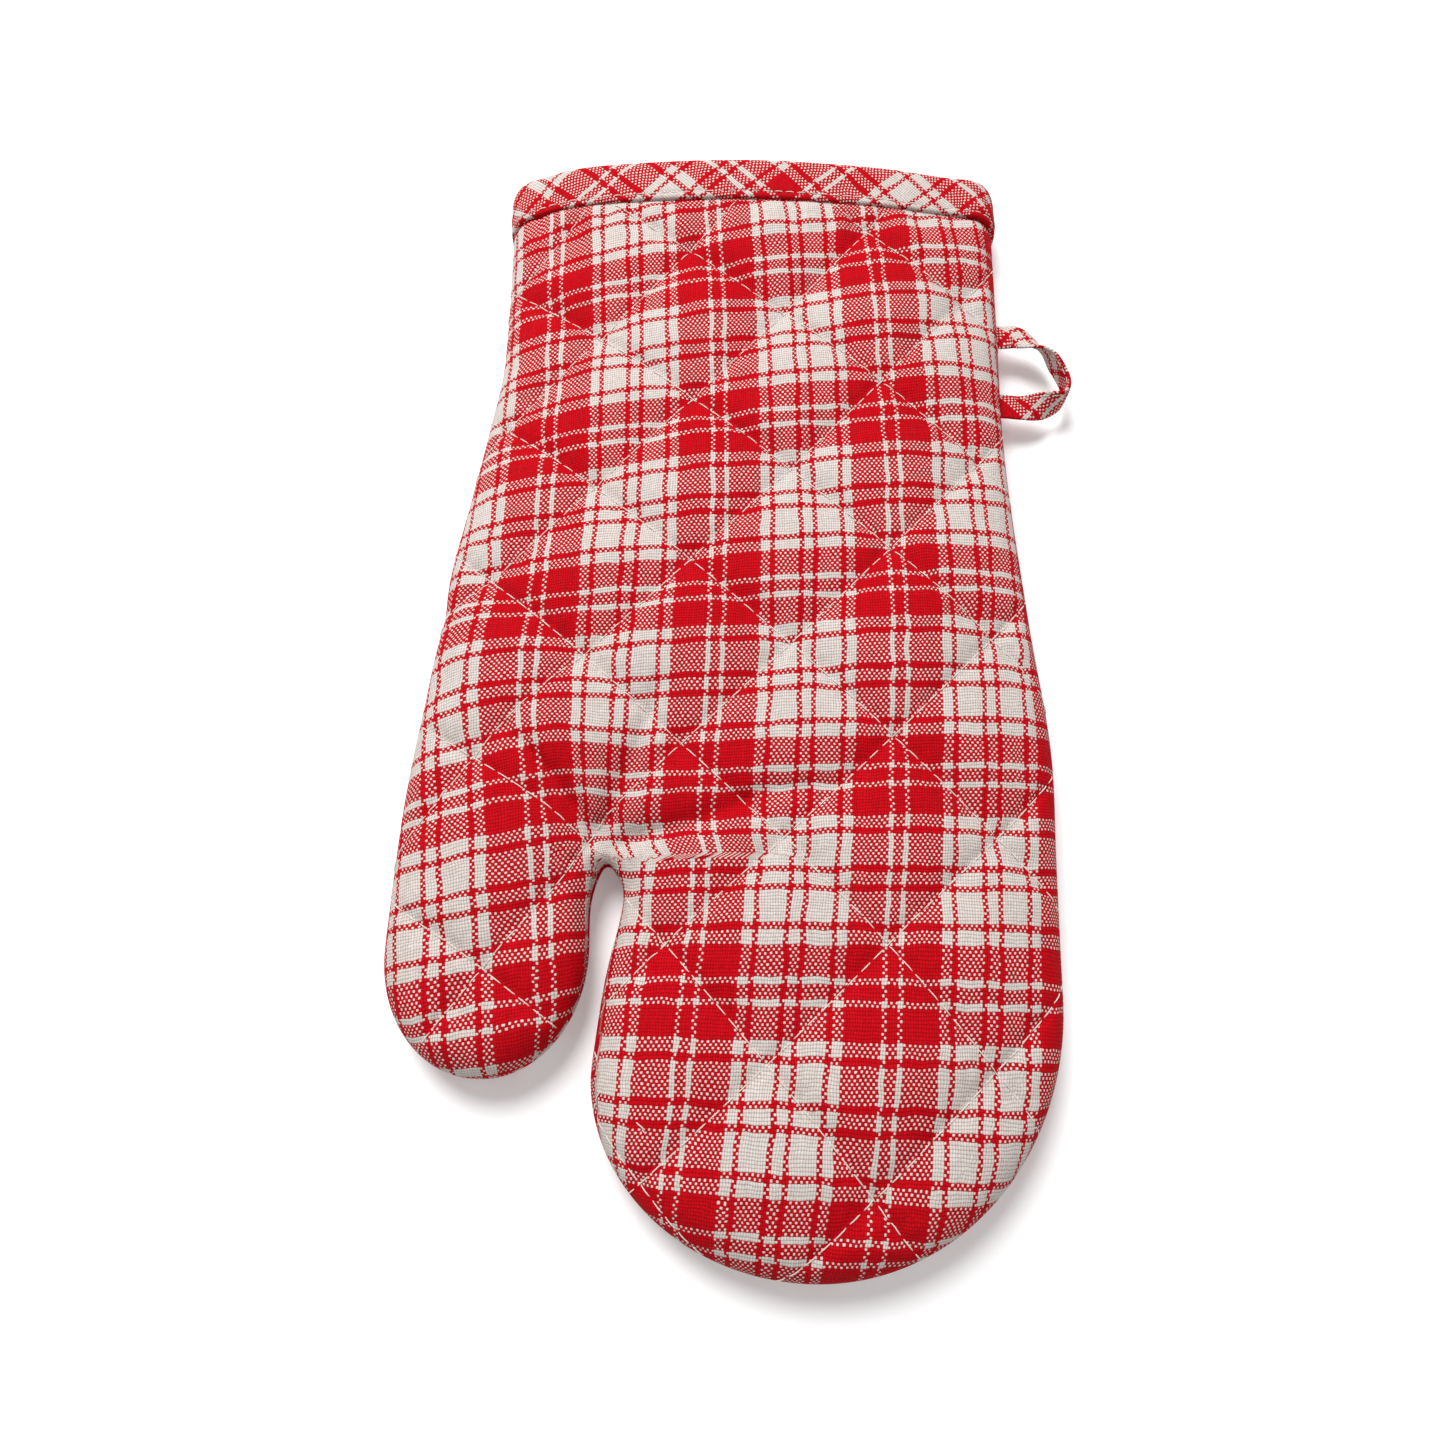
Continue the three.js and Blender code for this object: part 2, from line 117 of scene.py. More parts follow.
# The quilting: lines cross at every QUILT_ORIGIN + (i, j) * QUILT_HALF with i + j even.
QUILT_ORIGIN = (117.5, 121.5)
QUILT_HALF = (33.6, 33.7)
STITCH, STITCH_GAP = 4.3, 1.2
THREAD_RADIUS = 0.2
QUILT_DEPTH = 1.0
BACK_CLOTH_SHIFT = [23.0, 31.0]  # the back is cut from another part of the check


# ---- Curves in the plan ----


def through(knots, at):
    """Smooth curve through (y, value) knots, read at y."""
    ys = np.array([k[0] for k in knots], float)
    vs = np.array([k[1] for k in knots], float)
    slopes = np.empty_like(vs)
    slopes[1:-1] = (vs[2:] - vs[:-2]) / (ys[2:] - ys[:-2])
    slopes[0] = (vs[1] - vs[0]) / (ys[1] - ys[0])
    slopes[-1] = (vs[-1] - vs[-2]) / (ys[-1] - ys[-2])
    at = np.clip(np.asarray(at, float), ys[0], ys[-1])
    i = np.clip(np.searchsorted(ys, at, side="right") - 1, 0, len(ys) - 2)
    span = ys[i + 1] - ys[i]
    t = (at - ys[i]) / span
    return (
        vs[i] * (1 + 2 * t) * (1 - t) ** 2
        + vs[i + 1] * t * t * (3 - 2 * t)
        + slopes[i] * span * t * (1 - t) ** 2
        - slopes[i + 1] * span * t * t * (1 - t)
    )


def smoothstep(a, b, t):
    t = np.clip((np.asarray(t, float) - a) / (b - a), 0, 1)
    return t * t * (3 - 2 * t)


# The edges in plan as (y, x), and the palm side's height over the seam as (y, height).
HAND_LEFT = [(56, -66.5), (84, -63), (102, -59), (112, -58.5), (128, -71), (148, -92), (170, -111),
             (194, -120), (215, -121.5), (247, -116.5), (280, -111.5), (305, -108.5), (LENGTH, -109)]
HAND_RIGHT = [(82, 76.5), (118, 78.5), (155, 80.5), (200, 77.5), (265, 75), (325, 77), (LENGTH, 79)]
THUMB_LEFT = [(92, -131), (136, -129.5), (170, -126), (200, -122), (238, -112)]
THUMB_RIGHT = [(92, -68), (108, -68), (120, -64), (150, -52)]
RISE = [(0, FINGER_RISE), (FINGER_FOLD_Y, FINGER_RISE), (190, PALM_RISE - 1), (320, PALM_RISE - 1),
        (LENGTH, PALM_RISE + 1)]


def crossing(first, second, low, high):
    """The y between low and high where two edges meet."""
    ys = np.linspace(low, high, 400)
    return ys[np.argmin(np.abs(through(first, ys) - through(second, ys)))]


def resample(points, step):
    """The same line with points about step apart."""
    points = np.asarray(points, float)
    run = np.concatenate([[0], np.cumsum(np.linalg.norm(np.diff(points, axis=0), axis=1))])
    at = np.linspace(0, run[-1], max(2, round(run[-1] / step) + 1))
    return np.stack([np.interp(at, run, points[:, k]) for k in range(points.shape[1])], 1)


def ellipse(centre, across, along, start, end):
    """Part of an ellipse, from one angle in degrees to another."""
    turn = np.radians(np.linspace(start, end, 40))
    return np.stack([centre[0] + across * np.cos(turn), centre[1] + along * np.sin(turn)], 1)


def outline():
    """The seam line in plan, from the cuff's right end round the fingers and the thumb to its left end."""
    crotch_y = crossing(HAND_LEFT, THUMB_RIGHT, 108, 128)
    thumb_meets = crossing(HAND_LEFT, THUMB_LEFT, 195, 235)
    thumb_centre = (THUMB_TIP[0], THUMB_TIP[1] + THUMB_TIP_LENGTH)
    right = np.linspace(LENGTH, FINGER_TIP_RIGHT[1], 120)
    left = np.linspace(FINGER_TIP_LEFT[1], crotch_y, 40)
    inner = np.linspace(crotch_y, thumb_centre[1], 20)
    outer = np.linspace(thumb_centre[1], thumb_meets, 60)
    wrist = np.linspace(thumb_meets, LENGTH, 80)
    parts = [
        np.stack([through(HAND_RIGHT, right), right], 1),
        ellipse((0, FINGER_TIP_RIGHT[1]), *FINGER_TIP_RIGHT, 0, -90),
        ellipse((0, FINGER_TIP_LEFT[1]), *FINGER_TIP_LEFT, -90, -180),
        np.stack([through(HAND_LEFT, left), left], 1),
        np.stack([through(THUMB_RIGHT, inner), inner], 1),
        ellipse(thumb_centre, THUMB_HALF[1], THUMB_TIP_LENGTH, 0, -90),
        ellipse(thumb_centre, THUMB_HALF[0], THUMB_TIP_LENGTH, -90, -180),
        np.stack([through(THUMB_LEFT, outer), outer], 1),
        np.stack([through(HAND_LEFT, wrist), wrist], 1),
    ]
    line = resample(np.concatenate(parts), 0.8)
    for _ in range(24):
        line[1:-1] = (line[:-2] + 2 * line[1:-1] + line[2:]) / 4
    # Points lie closer together where the line turns sharply, at the crotch.
    steps = np.linalg.norm(np.diff(line, axis=0), axis=1)
    near = np.linalg.norm((line[:-1] + line[1:]) / 2 - CROTCH, axis=1)
    weight = steps * (1 + 3.5 * np.exp(-((near / 7) ** 2))) / OUTLINE_STEP
    run = np.concatenate([[0], np.cumsum(weight)])
    at = np.linspace(0, run[-1], round(run[-1]) + 1)
    return np.stack([np.interp(at, run, line[:, k]) for k in (0, 1)], 1)


OUTLINE = outline()


def inward_normals(line):
    """Unit directions into the mitt along its outline; straight across at the cuff."""
    ahead = np.gradient(line, axis=0)
    normal = np.stack([ahead[:, 1], -ahead[:, 0]], 1)
    normal /= np.linalg.norm(normal, axis=1)[:, None]
    for _ in range(3):
        normal[1:-1] = (normal[:-2] + 2 * normal[1:-1] + normal[2:]) / 4
    normal[0], normal[-1] = (-1, 0), (1, 0)
    return normal / np.linalg.norm(normal, axis=1)[:, None]


INWARD = inward_normals(OUTLINE)


def nearest(points, line):
    """Distance from each point to a line's points, and which one."""
    best = np.full(len(points), 1e9)
    which = np.zeros(len(points), int)
    for start in range(0, len(points), 2000):
        block = points[start:start + 2000]
        d = np.linalg.norm(block[:, None, :] - line[None, :, :], axis=2)
        which[start:start + 2000] = d.argmin(1)
        best[start:start + 2000] = d.min(1)
    return best, which


def inside(points, polygon):
    """Which points lie in a closed polygon."""
    x, y = points[:, 0], points[:, 1]
    result = np.zeros(len(points), bool)
    for (x0, y0), (x1, y1) in zip(polygon, np.roll(polygon, -1, axis=0)):
        crosses = (y0 > y) != (y1 > y)
        if y1 != y0:
            result ^= crosses & (x < (x1 - x0) * (y - y0) / (y1 - y0) + x0)
    return result


# ---- The cloth's own coordinates ----

# On the thumb the cloth is turned and stretched: what lies at FROM on an even panel lies at TO.
THUMB_CLOTH_FROM, THUMB_CLOTH_TO = (-90.8, 140.0), (-86.2, 140.6)
THUMB_CLOTH_TURN, THUMB_CLOTH_SCALE = math.radians(-10.4), 0.9


def turned_to_thumb(plan):
    """Plan points moved to where their cloth would lie on an evenly laid panel."""
    off = plan - THUMB_CLOTH_TO
    cos, sin = math.cos(THUMB_CLOTH_TURN), math.sin(THUMB_CLOTH_TURN)
    turned = np.stack([off[:, 0] * cos - off[:, 1] * sin, off[:, 0] * sin + off[:, 1] * cos], 1)
    turned = np.array(THUMB_CLOTH_FROM) + turned * THUMB_CLOTH_SCALE
    share = smoothstep(-50, 5, (plan - CROTCH) @ TO_THUMB)
    by_crotch = smoothstep(CROTCH[0] - 18, CROTCH[0] + 12, plan[:, 0])
    share = share * (1 - by_crotch * smoothstep(CROTCH[1] - 15, CROTCH[1] + 15, plan[:, 1]))
    share[(plan[:, 0] > CROTCH[0]) & (plan[:, 1] < CROTCH[1] - 1)] = 0
    return plan + (turned - plan) * share[:, None]


def cloth_at(plan):
    """Where a plan point lies on the flat cloth: millimetres along the weft and along the warp.
    The stripes bow a little, and the rows fan out towards the fingers, as the panel was cut and pulled.
    The crease at the knuckles takes up some cloth."""
    plan = turned_to_thumb(plan)
    above = np.maximum(plan[:, 1] - KNUCKLES_Y, 0)
    below = np.maximum(KNUCKLES_Y - plan[:, 1], 0)
    pulled = 2.2 + 8.0 * (1 - np.exp(-above / 105)) + 0.042 * below
    x = plan[:, 0] + TIP_X + (plan[:, 0] + 10) / 80
    y = plan[:, 1] + TIP_Y + pulled
    along_weft = x + 73.3 + 2.55e-4 * (y - 73) ** 2
    row = (158.55 + 0.155 * (x - 45.7) - y) / (67.5 + 0.043 * (x - 45.7))
    return np.stack([along_weft, row * WEFT_REPEAT], 1)


def quilt_fields(cloth):
    """Two fields whose whole numbers are the quilting lines of each direction."""
    a = (cloth[:, 0] - QUILT_ORIGIN[0]) / QUILT_HALF[0]
    b = (cloth[:, 1] - QUILT_ORIGIN[1]) / QUILT_HALF[1]
    return (a + b) / 2, (a - b) / 2


LINE_SPACING = 2 * QUILT_HALF[0] / math.sqrt(2)


def quilt_distance(cloth):
    """Millimetres to the nearest quilting line."""
    one, two = quilt_fields(cloth)
    off = np.minimum(np.abs(one - np.round(one)), np.abs(two - np.round(two)))
    return off * LINE_SPACING


# ---- One side of the mitt as a sheet ----


def side_sheet(palm):
    """One side from the seam inwards: points, faces, where each point lies on the flattened panel, the
    points along the cuff from right to left, and the first point inside the rounded edge."""
    reach = EDGE_ROUND_PALM if palm else EDGE_ROUND_BACK
    count = len(OUTLINE)
    turns = np.radians(np.linspace(10, 90, EDGE_RINGS))
    insets = np.concatenate([[3.2, 0.8], reach * (1 - np.cos(turns))])  # the first two tuck into the seam
    heights = np.concatenate([[0.015, 0.05], np.sin(turns)])
    if palm:
        edge_rise = EDGE_SHARE * through(RISE, OUTLINE[:, 1])
    else:
        edge_rise = np.full(count, SEAM_Z)
    profile = np.stack([insets, heights * edge_rise.mean()], 1)
    steps = np.linalg.norm(np.diff(profile, axis=0), axis=1)
    arc = np.concatenate([np.cumsum(steps[::-1])[::-1], [0]])  # cloth from each ring to the last one
    rings = [OUTLINE + INWARD * inset for inset in insets]
    flats = [ring - INWARD * (a - (reach - inset)) for ring, a, inset in zip(rings, arc, insets)]
    lifts = [h * edge_rise for h in heights]
    inner = rings[-1]
    low, high = OUTLINE.min(0), OUTLINE.max(0)
    xs = np.arange(low[0], high[0], GRID_STEP)
    ys = LENGTH - np.arange(0, high[1] - low[1], GRID_STEP)
    grid = np.stack(np.meshgrid(xs, ys), -1).reshape(-1, 2)
    distance, _ = nearest(grid, inner)
    on_cuff = grid[:, 1] > LENGTH - 0.01
    between = (grid[:, 0] > inner[-1, 0]) & (grid[:, 0] < inner[0, 0])
    keep = np.where(on_cuff, between, inside(grid, inner)) & (distance > 0.55 * GRID_STEP)
    cuff = grid[keep & on_cuff]
    cuff = cuff[np.argsort(cuff[:, 0])]
    points = np.concatenate([inner, cuff, grid[keep & ~on_cuff]])
    border = list(range(count + len(cuff)))[::-1]
    out = geometry.delaunay_2d_cdt([Vector(p) for p in points], [], [border], 1, 1e-5, True)
    offset = (len(rings) - 1) * count
    origin = [ids[0] + offset for ids in out[3]]
    quads = []
    for r in range(len(rings) - 1):
        for k in range(count - 1):
            a = r * count + k
            quads.append((a, a + count, a + count + 1, a + 1))
    centres = np.array([[sum(out[0][k][axis] for k in face) / 3 for axis in (0, 1)] for face in out[2]])
    filled = inside(centres, points[:count + len(cuff)])
    faces = quads + [tuple(origin[k] for k in face) for face, wanted in zip(out[2], filled) if wanted]
    plan = np.concatenate(rings[:-1] + [points])
    flat = np.concatenate(flats[:-1] + [points])
    first = offset + count
    distance, which = nearest(points[count:], OUTLINE)
    rise = through(RISE, points[count:, 1])
    if palm:
        dome = (1 - EDGE_SHARE) * rise * (1 - np.exp(-np.maximum(distance - reach, 0) / DOME_REACH))
        lift = EDGE_SHARE * rise + dome
    else:
        lift = edge_rise[which]
    lift = np.concatenate(lifts + [lift])
    co = np.column_stack([plan, SEAM_Z + (lift if palm else -lift)])
    right = [r * count for r in range(2, len(rings))]
    left = [r * count + count - 1 for r in range(2, len(rings))]
    row = list(range(first, first + len(cuff)))
    return co, faces, flat, right + row[::-1] + left[::-1], first


def make_object(name, co, faces, values=None):
    """An object in the model's frame, from points in plan millimetres."""
    mesh = bpy.data.meshes.new(name)
    world = (np.asarray(co, float) + [TIP_X, TIP_Y, 0]) * MM
    mesh.from_pydata(world.tolist(), [], [tuple(int(i) for i in f) for f in faces])
    mesh.update()
    for key, value in (values or {}).items():
        set_values(mesh, key, value)
    mesh.shade_smooth()
    o = bpy.data.objects.new(name, mesh)
    bpy.context.scene.collection.objects.link(o)
    return o


def read_points(mesh, attribute="co"):
    out = np.empty(len(mesh.vertices) * 3)
    mesh.vertices.foreach_get(attribute, out)
    return out.reshape(-1, 3)


def plan_of(mesh):
    return read_points(mesh) / MM - [TIP_X, TIP_Y, 0]


def set_plan(mesh, co):
    mesh.vertices.foreach_set("co", ((co + [TIP_X, TIP_Y, 0]) * MM).ravel())
    mesh.update()


def set_values(mesh, name, values):
    layer = mesh.attributes.get(name) or mesh.attributes.new(name, "FLOAT", "POINT")
    layer.data.foreach_set("value", np.asarray(values, np.float32))


def get_values(mesh, name):
    out = np.empty(len(mesh.vertices))
    mesh.attributes[name].data.foreach_get("value", out)
    return out


def edges_of(faces):
    """Each edge of the faces once, as pairs of points."""
    found = set()
    for f in faces:
        for a, b in zip(f, f[1:] + f[:1]):
            found.add((a, b) if a < b else (b, a))
    return np.array(sorted(found))


def relax(values, edges, free, rounds, rate=0.6):
    """Evens out values over a mesh's free points."""
    values = values.copy()
    count = np.maximum(np.bincount(edges.ravel(), minlength=len(values)), 1)
    for _ in range(rounds):
        total = np.bincount(edges[:, 0], values[edges[:, 1]], len(values))
        total += np.bincount(edges[:, 1], values[edges[:, 0]], len(values))
        values += np.where(free, rate * (total / count - values), 0)
    return values


# ---- Creases and slack ----

# Valleys in the palm side that run from the crotch: points, depth, half width.
CREASES = [
    ([(-64, 122), (-52, 126), (-36, 129), (-14, 138), (10, 141)], 3.6, 3.4),
    ([(-65, 123), (-72, 133), (-81, 145), (-96, 160)], 3.0, 3.4),
    ([(-64, 122), (-62, 136), (-54, 152), (-47, 174)], 3.0, 3.2),
]
CREASE_HELD = 1.8  # half the width that is held along a crease


def crease_depth(plan):
    """How deep the creases are at plan points."""
    depth = np.zeros(len(plan))
    for points, deep, half in CREASES:
        line = resample(points, 1.0)
        away, which = nearest(plan, line)
        along = which / (len(line) - 1)
        depth = np.maximum(depth, deep * np.sqrt(1 - along) * np.exp(-((away / half) ** 2)))
    return depth


def crease_hold(plan):
    """How firmly the creases are held while the quilt swells."""
    hold = np.zeros(len(plan))
    for points, _, _ in CREASES:
        away, _ = nearest(plan, resample(points, 1.0))
        hold = np.maximum(hold, np.exp(-((away / CREASE_HELD) ** 2)))
    return hold


def waves(plan, seed, size):
    """Slow unevenness from about -1 to 1: a sum of a few long waves."""
    rng = np.random.default_rng(seed)
    total = np.zeros(len(plan))
    for _ in range(7):
        turn, phase = rng.uniform(0, 2 * math.pi, 2)
        length = size * rng.uniform(0.7, 1.6)
        along = plan[:, 0] * math.cos(turn) + plan[:, 1] * math.sin(turn)
        total += np.sin(along * 2 * math.pi / length + phase)
    return total / 3.5


# ---- Puffing the quilt up as cloth ----

SIM_SCALE = 0.1  # a millimetre in the simulation's units
PUFF_FRAMES = 20
PUFF_LIMIT = 4.0  # the most that a point may move
PUFF_SHARE = 0.62  # of the simulated swelling, how much is kept


def puff(co, faces, hold, palm):
    """Swells a held sheet as cloth under pressure, and gives the moved points."""
    mesh = bpy.data.meshes.new("puffing")
    mesh.from_pydata((co * SIM_SCALE).tolist(), [], faces)
    o = bpy.data.objects.new("puffing", mesh)
    bpy.context.scene.collection.objects.link(o)
    group = o.vertex_groups.new(name="hold")
    for i in np.nonzero(hold > 0.02)[0]:
        group.add([int(i)], float(hold[i]), "REPLACE")
    cloth = o.modifiers.new("puff", "CLOTH")
    s = cloth.settings
    s.quality = 8
    s.mass = 0.3
    s.tension_stiffness = s.compression_stiffness = 15
    s.shear_stiffness = 6
    s.bending_stiffness = 0.5
    s.vertex_group_mass = "hold"
    s.use_pressure = True
    s.uniform_pressure_force = 0.25 if palm else 0.15
    s.shrink_min = -0.012
    s.effector_weights.gravity = 0
    cloth.collision_settings.use_collision = False
    cloth.collision_settings.use_self_collision = False
    cloth.point_cache.frame_start = 1
    cloth.point_cache.frame_end = PUFF_FRAMES
    scene = bpy.context.scene
    for f in range(1, PUFF_FRAMES + 1):
        scene.frame_set(f)
    moved = o.evaluated_get(bpy.context.evaluated_depsgraph_get())
    after = read_points(moved.data) / SIM_SCALE
    scene.frame_set(1)
    bpy.data.objects.remove(o)
    bpy.data.meshes.remove(mesh)
    move = after - co
    size = np.linalg.norm(move, axis=1)
    return co + move * (PUFF_SHARE * np.minimum(1, PUFF_LIMIT / np.maximum(size, 1e-6)))[:, None]


def build_side(palm):
    """One side's outside as a fine mesh, and the cuff's cross-section from right to left."""
    co, faces, flat, cuff, first = side_sheet(palm)
    plan = co[:, :2].copy()
    edges = edges_of(faces)
    sign = 1 if palm else -1
    free = np.arange(len(co)) >= first
    distance, _ = nearest(plan, OUTLINE)
    if palm:
        co[:, 2] = relax(co[:, 2], edges, free, 60)
        co[:, 2] += smoothstep(8, 30, distance) * waves(plan, 5, 90)
    # Under the cuff's tape, and a little before it, the section stays the same.
    row = np.array(cuff)
    order = np.argsort(co[row, 0])
    level = np.interp(plan[:, 0], co[row, 0][order], co[row, 2][order])
    pressed = smoothstep(BINDING_Y - 16, BINDING_Y - 4, plan[:, 1]) * free
    co[:, 2] += pressed * (level - co[:, 2])
    section = co[row][:, [0, 2]]
    cloth = cloth_at(flat)
    near = quilt_distance(cloth)
    soft = smoothstep(2.5, 9, distance) * (1 - smoothstep(BINDING_Y - 16, BINDING_Y - 1, plan[:, 1]))
    if palm:
        co[:, 2] -= crease_depth(plan) * smoothstep(0.5, 9, distance)
    co[:, 2] -= sign * QUILT_DEPTH * np.exp(-((near / 3.2) ** 2)) * soft
    hold = np.maximum(np.exp(-((near / 2.2) ** 2)), 1 - soft)
    if palm:
        hold = np.maximum(hold, crease_hold(plan))
    co = puff(co, faces if palm else [f[::-1] for f in faces], hold, palm)
    if not palm:
        co[:, 2] = np.maximum(co[:, 2], 0.15)
    coarse = make_object("sheet", co, faces if palm else [f[::-1] for f in faces], {
        "flat_x": flat[:, 0], "flat_y": flat[:, 1],
    })
    bm = bmesh.new()
    bm.from_mesh(coarse.data)
    bmesh.ops.join_triangles(
        bm, faces=[f for f in bm.faces if len(f.verts) == 3],
        angle_face_threshold=math.radians(40), angle_shape_threshold=math.radians(50),
    )
    bm.to_mesh(coarse.data)
    bm.free()
    modifier = coarse.modifiers.new("fine", "SUBSURF")
    modifier.levels = modifier.render_levels = 1
    fine = bpy.data.meshes.new_from_object(coarse.evaluated_get(bpy.context.evaluated_depsgraph_get()))
    bpy.data.objects.remove(coarse)
    co = plan_of(fine)
    flat = np.stack([get_values(fine, "flat_x"), get_values(fine, "flat_y")], 1)
    detail(co, flat, read_points(fine, "normal"), palm)
    set_plan(fine, co)
    faces = [tuple(f.vertices) for f in fine.polygons]
    sheet = np.column_stack([flat, np.zeros(len(flat))])
    return {"co": co, "flat": flat, "normal": read_points(fine, "normal"), "palm": palm, "faces": faces,
            "edge": nearest(co[:, :2], OUTLINE), "sheet": sheet,
            "tree": BVHTree.FromPolygons(sheet.tolist(), faces),
            "region": region_of(np.array([co[list(f)].mean(0) for f in faces]))}, section


def detail(co, flat, normal, palm):
    """Fine shape laid over the puffed sheet: stitched grooves, puckers beside them and at the tape."""
    cloth = cloth_at(flat)
    one, two = quilt_fields(cloth)
    distance, _ = nearest(co[:, :2], OUTLINE)
    soft = smoothstep(2.0, 7, distance) * (1 - smoothstep(BINDING_Y - 6, BINDING_Y - 1, co[:, 1]))
    lift = np.zeros(len(co))
    for across, along in ((one, two), (two, one)):
        away = np.abs(across - np.round(across)) * LINE_SPACING
        run = along * LINE_SPACING
        phase = 9.1 * np.round(across)
        lift -= 0.7 * np.exp(-((away / 1.3) ** 2))
        beside = np.exp(-((away / 6.0) ** 2)) * smoothstep(0.6, 2.5, away)
        lift += 0.22 * np.sin(run * 2 * math.pi / 6.3 + phase) * beside
    lift += 0.25 * waves(co[:, :2], 11 if palm else 12, 17)
    lift *= soft
    if palm:
        lift -= 0.7 * crease_hold(co[:, :2]) * smoothstep(2, 8, distance)
    low = smoothstep(BINDING_Y - 3.0, BINDING_Y + 0.4, co[:, 1])
    gather = smoothstep(BINDING_Y - 26, BINDING_Y - 4, co[:, 1]) * (1 - low)
    ripple = np.sin(co[:, 0] / 2.1 + 2.5 * waves(co[:, :2], 21, 60))
    lift += 0.45 * gather * ripple * smoothstep(3, 12, distance)
    lift -= 0.9 * low
    co += normal * lift[:, None]
    if not palm:
        co[:, 2] = np.maximum(co[:, 2], 0.12)


# ---- The walls, parted where the mitt folds ----

NOTCH_MIDDLE = [(56, -66.8), (84, -65.6), (108, CROTCH[0] + 1)]  # between the thumb and the fingers
THUMB_SPLIT = -3.0  # across the thumb fold; above it everything follows the hand
FINGER_BLEND = (FINGER_FOLD_Y + 6, FINGER_FOLD_Y - 32)  # two places in y about the finger fold; the fingers' region lies below the first plus 3 mm


def region_of(centres):
    """0 hand, 1 fingers, 2 thumb, for points in plan."""
    beyond = (centres[:, :2] - CROTCH) @ TO_THUMB
    region = np.where(centres[:, 1] < FINGER_BLEND[0] + 3, 1, 0)
    notch = np.interp(centres[:, 1], *zip(*NOTCH_MIDDLE))
    region[(beyond > THUMB_SPLIT) & (centres[:, 0] < notch)] = 2
    return region


def at_depth(side, depth):
    """The side's points moved into the wall by depth."""
    co = side["co"].copy()
    sign = 1 if side["palm"] else -1
    distance, which = side["edge"]
    deep = depth * (1 - 0.42 * smoothstep(BINDING_Y - 12, BINDING_Y, co[:, 1]))
    inward = deep * (1 - smoothstep(0, 14, distance))
    co[:, :2] += INWARD[which] * inward[:, None]
    height = sign * (co[:, 2] - SEAM_Z) - deep
    co[:, 2] = SEAM_Z + sign * (height + np.sqrt(height ** 2 + 1)) / 2
    return co


BODY_NAMES = ["hand", "fingers", "thumb"]


def bend(o, body):
    """Attaches a hand piece to the hand's body; for the fingers and the thumb, only bakes the piece's
    transform into its mesh.
    """
    if body == "fingers":
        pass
    elif body == "thumb":
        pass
    else:
        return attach(o, "hand")
    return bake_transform(o)


def wall_piece(name, side, body, depths, values):
    """A closed piece between two depths of a side's wall, over one body's region."""
    co = side["co"]
    chosen = [side["faces"][i] for i in np.nonzero(side["region"] == BODY_NAMES.index(body))[0]]
    used = np.unique(np.concatenate([np.array(f) for f in chosen]))
    index = np.full(len(co), -1)
    index[used] = np.arange(len(used))
    outer = [tuple(int(index[i]) for i in f) for f in chosen]
    n = len(used)
    edge_faces = {}
    for f in outer:
        for a, b in zip(f, f[1:] + f[:1]):
            edge_faces[(a, b)] = True
    rim = [(a, b) for a, b in edge_faces if (b, a) not in edge_faces]
    inner = [tuple(i + n for i in f[::-1]) for f in outer]
    sides = [(b, a, a + n, b + n) for a, b in rim]
    layers = [at_depth(side, d)[used] if d else co[used] for d in depths]
    points = np.concatenate(layers)
    points[:, 1] = np.minimum(points[:, 1], LENGTH - 1.4)
    o = make_object(name, points, outer + inner + sides, {k: np.tile(v[used], 2) for k, v in values.items()})
    mesh = o.data
    normal = read_points(mesh, "normal")
    normal[:n] = side["normal"][used] if depths[0] == 0 else normal[:n]
    for i in {i for edge in rim for i in edge}:
        if depths[0] != 0:
            normal[i] = side["normal"][used[i]]
        normal[i + n] = -side["normal"][used[i]]
    mesh.normals_split_custom_set_from_vertices(normal.tolist())
    return o


# ---- Thread, laid as stitches over the cloth ----


def frames_along(points, normals):
    """The directions up from the cloth and to the side, along a line on it."""
    tangent = np.gradient(points, axis=0)
    tangent /= np.linalg.norm(tangent, axis=1)[:, None]
    side = np.cross(tangent, normals)
    side /= np.linalg.norm(side, axis=1)[:, None]
    return np.cross(side, tangent), side


class Strands:
    """Collects many short tubes into one mesh."""

    def __init__(self):
        self.points, self.faces, self.count = [], [], 0

    def add(self, points, normals, radius, flatten=0.8, sides=6):
        up, side = frames_along(points, normals)
        turn = np.linspace(0, 2 * math.pi, sides, endpoint=False)
        taper = np.sin(np.linspace(0.35, math.pi - 0.35, len(points))) ** 0.4
        upward, sideways = np.sin(turn) * flatten, np.cos(turn)
        ring = up[:, None, :] * upward[None, :, None] + side[:, None, :] * sideways[None, :, None]
        tube = points[:, None, :] + ring * (radius * taper)[:, None, None]
        start = self.count
        for r in range(len(points) - 1):
            for k in range(sides):
                a, b = start + r * sides + k, start + r * sides + (k + 1) % sides
                self.faces.append((a, b, b + sides, a + sides))
        last = start + (len(points) - 1) * sides
        self.faces.append(tuple(range(start, start + sides))[::-1])
        self.faces.append(tuple(range(last, last + sides)))
        self.points.append(tube.reshape(-1, 3))
        self.count += len(points) * sides

    def object(self, name):
        return make_object(name, np.concatenate(self.points), self.faces)


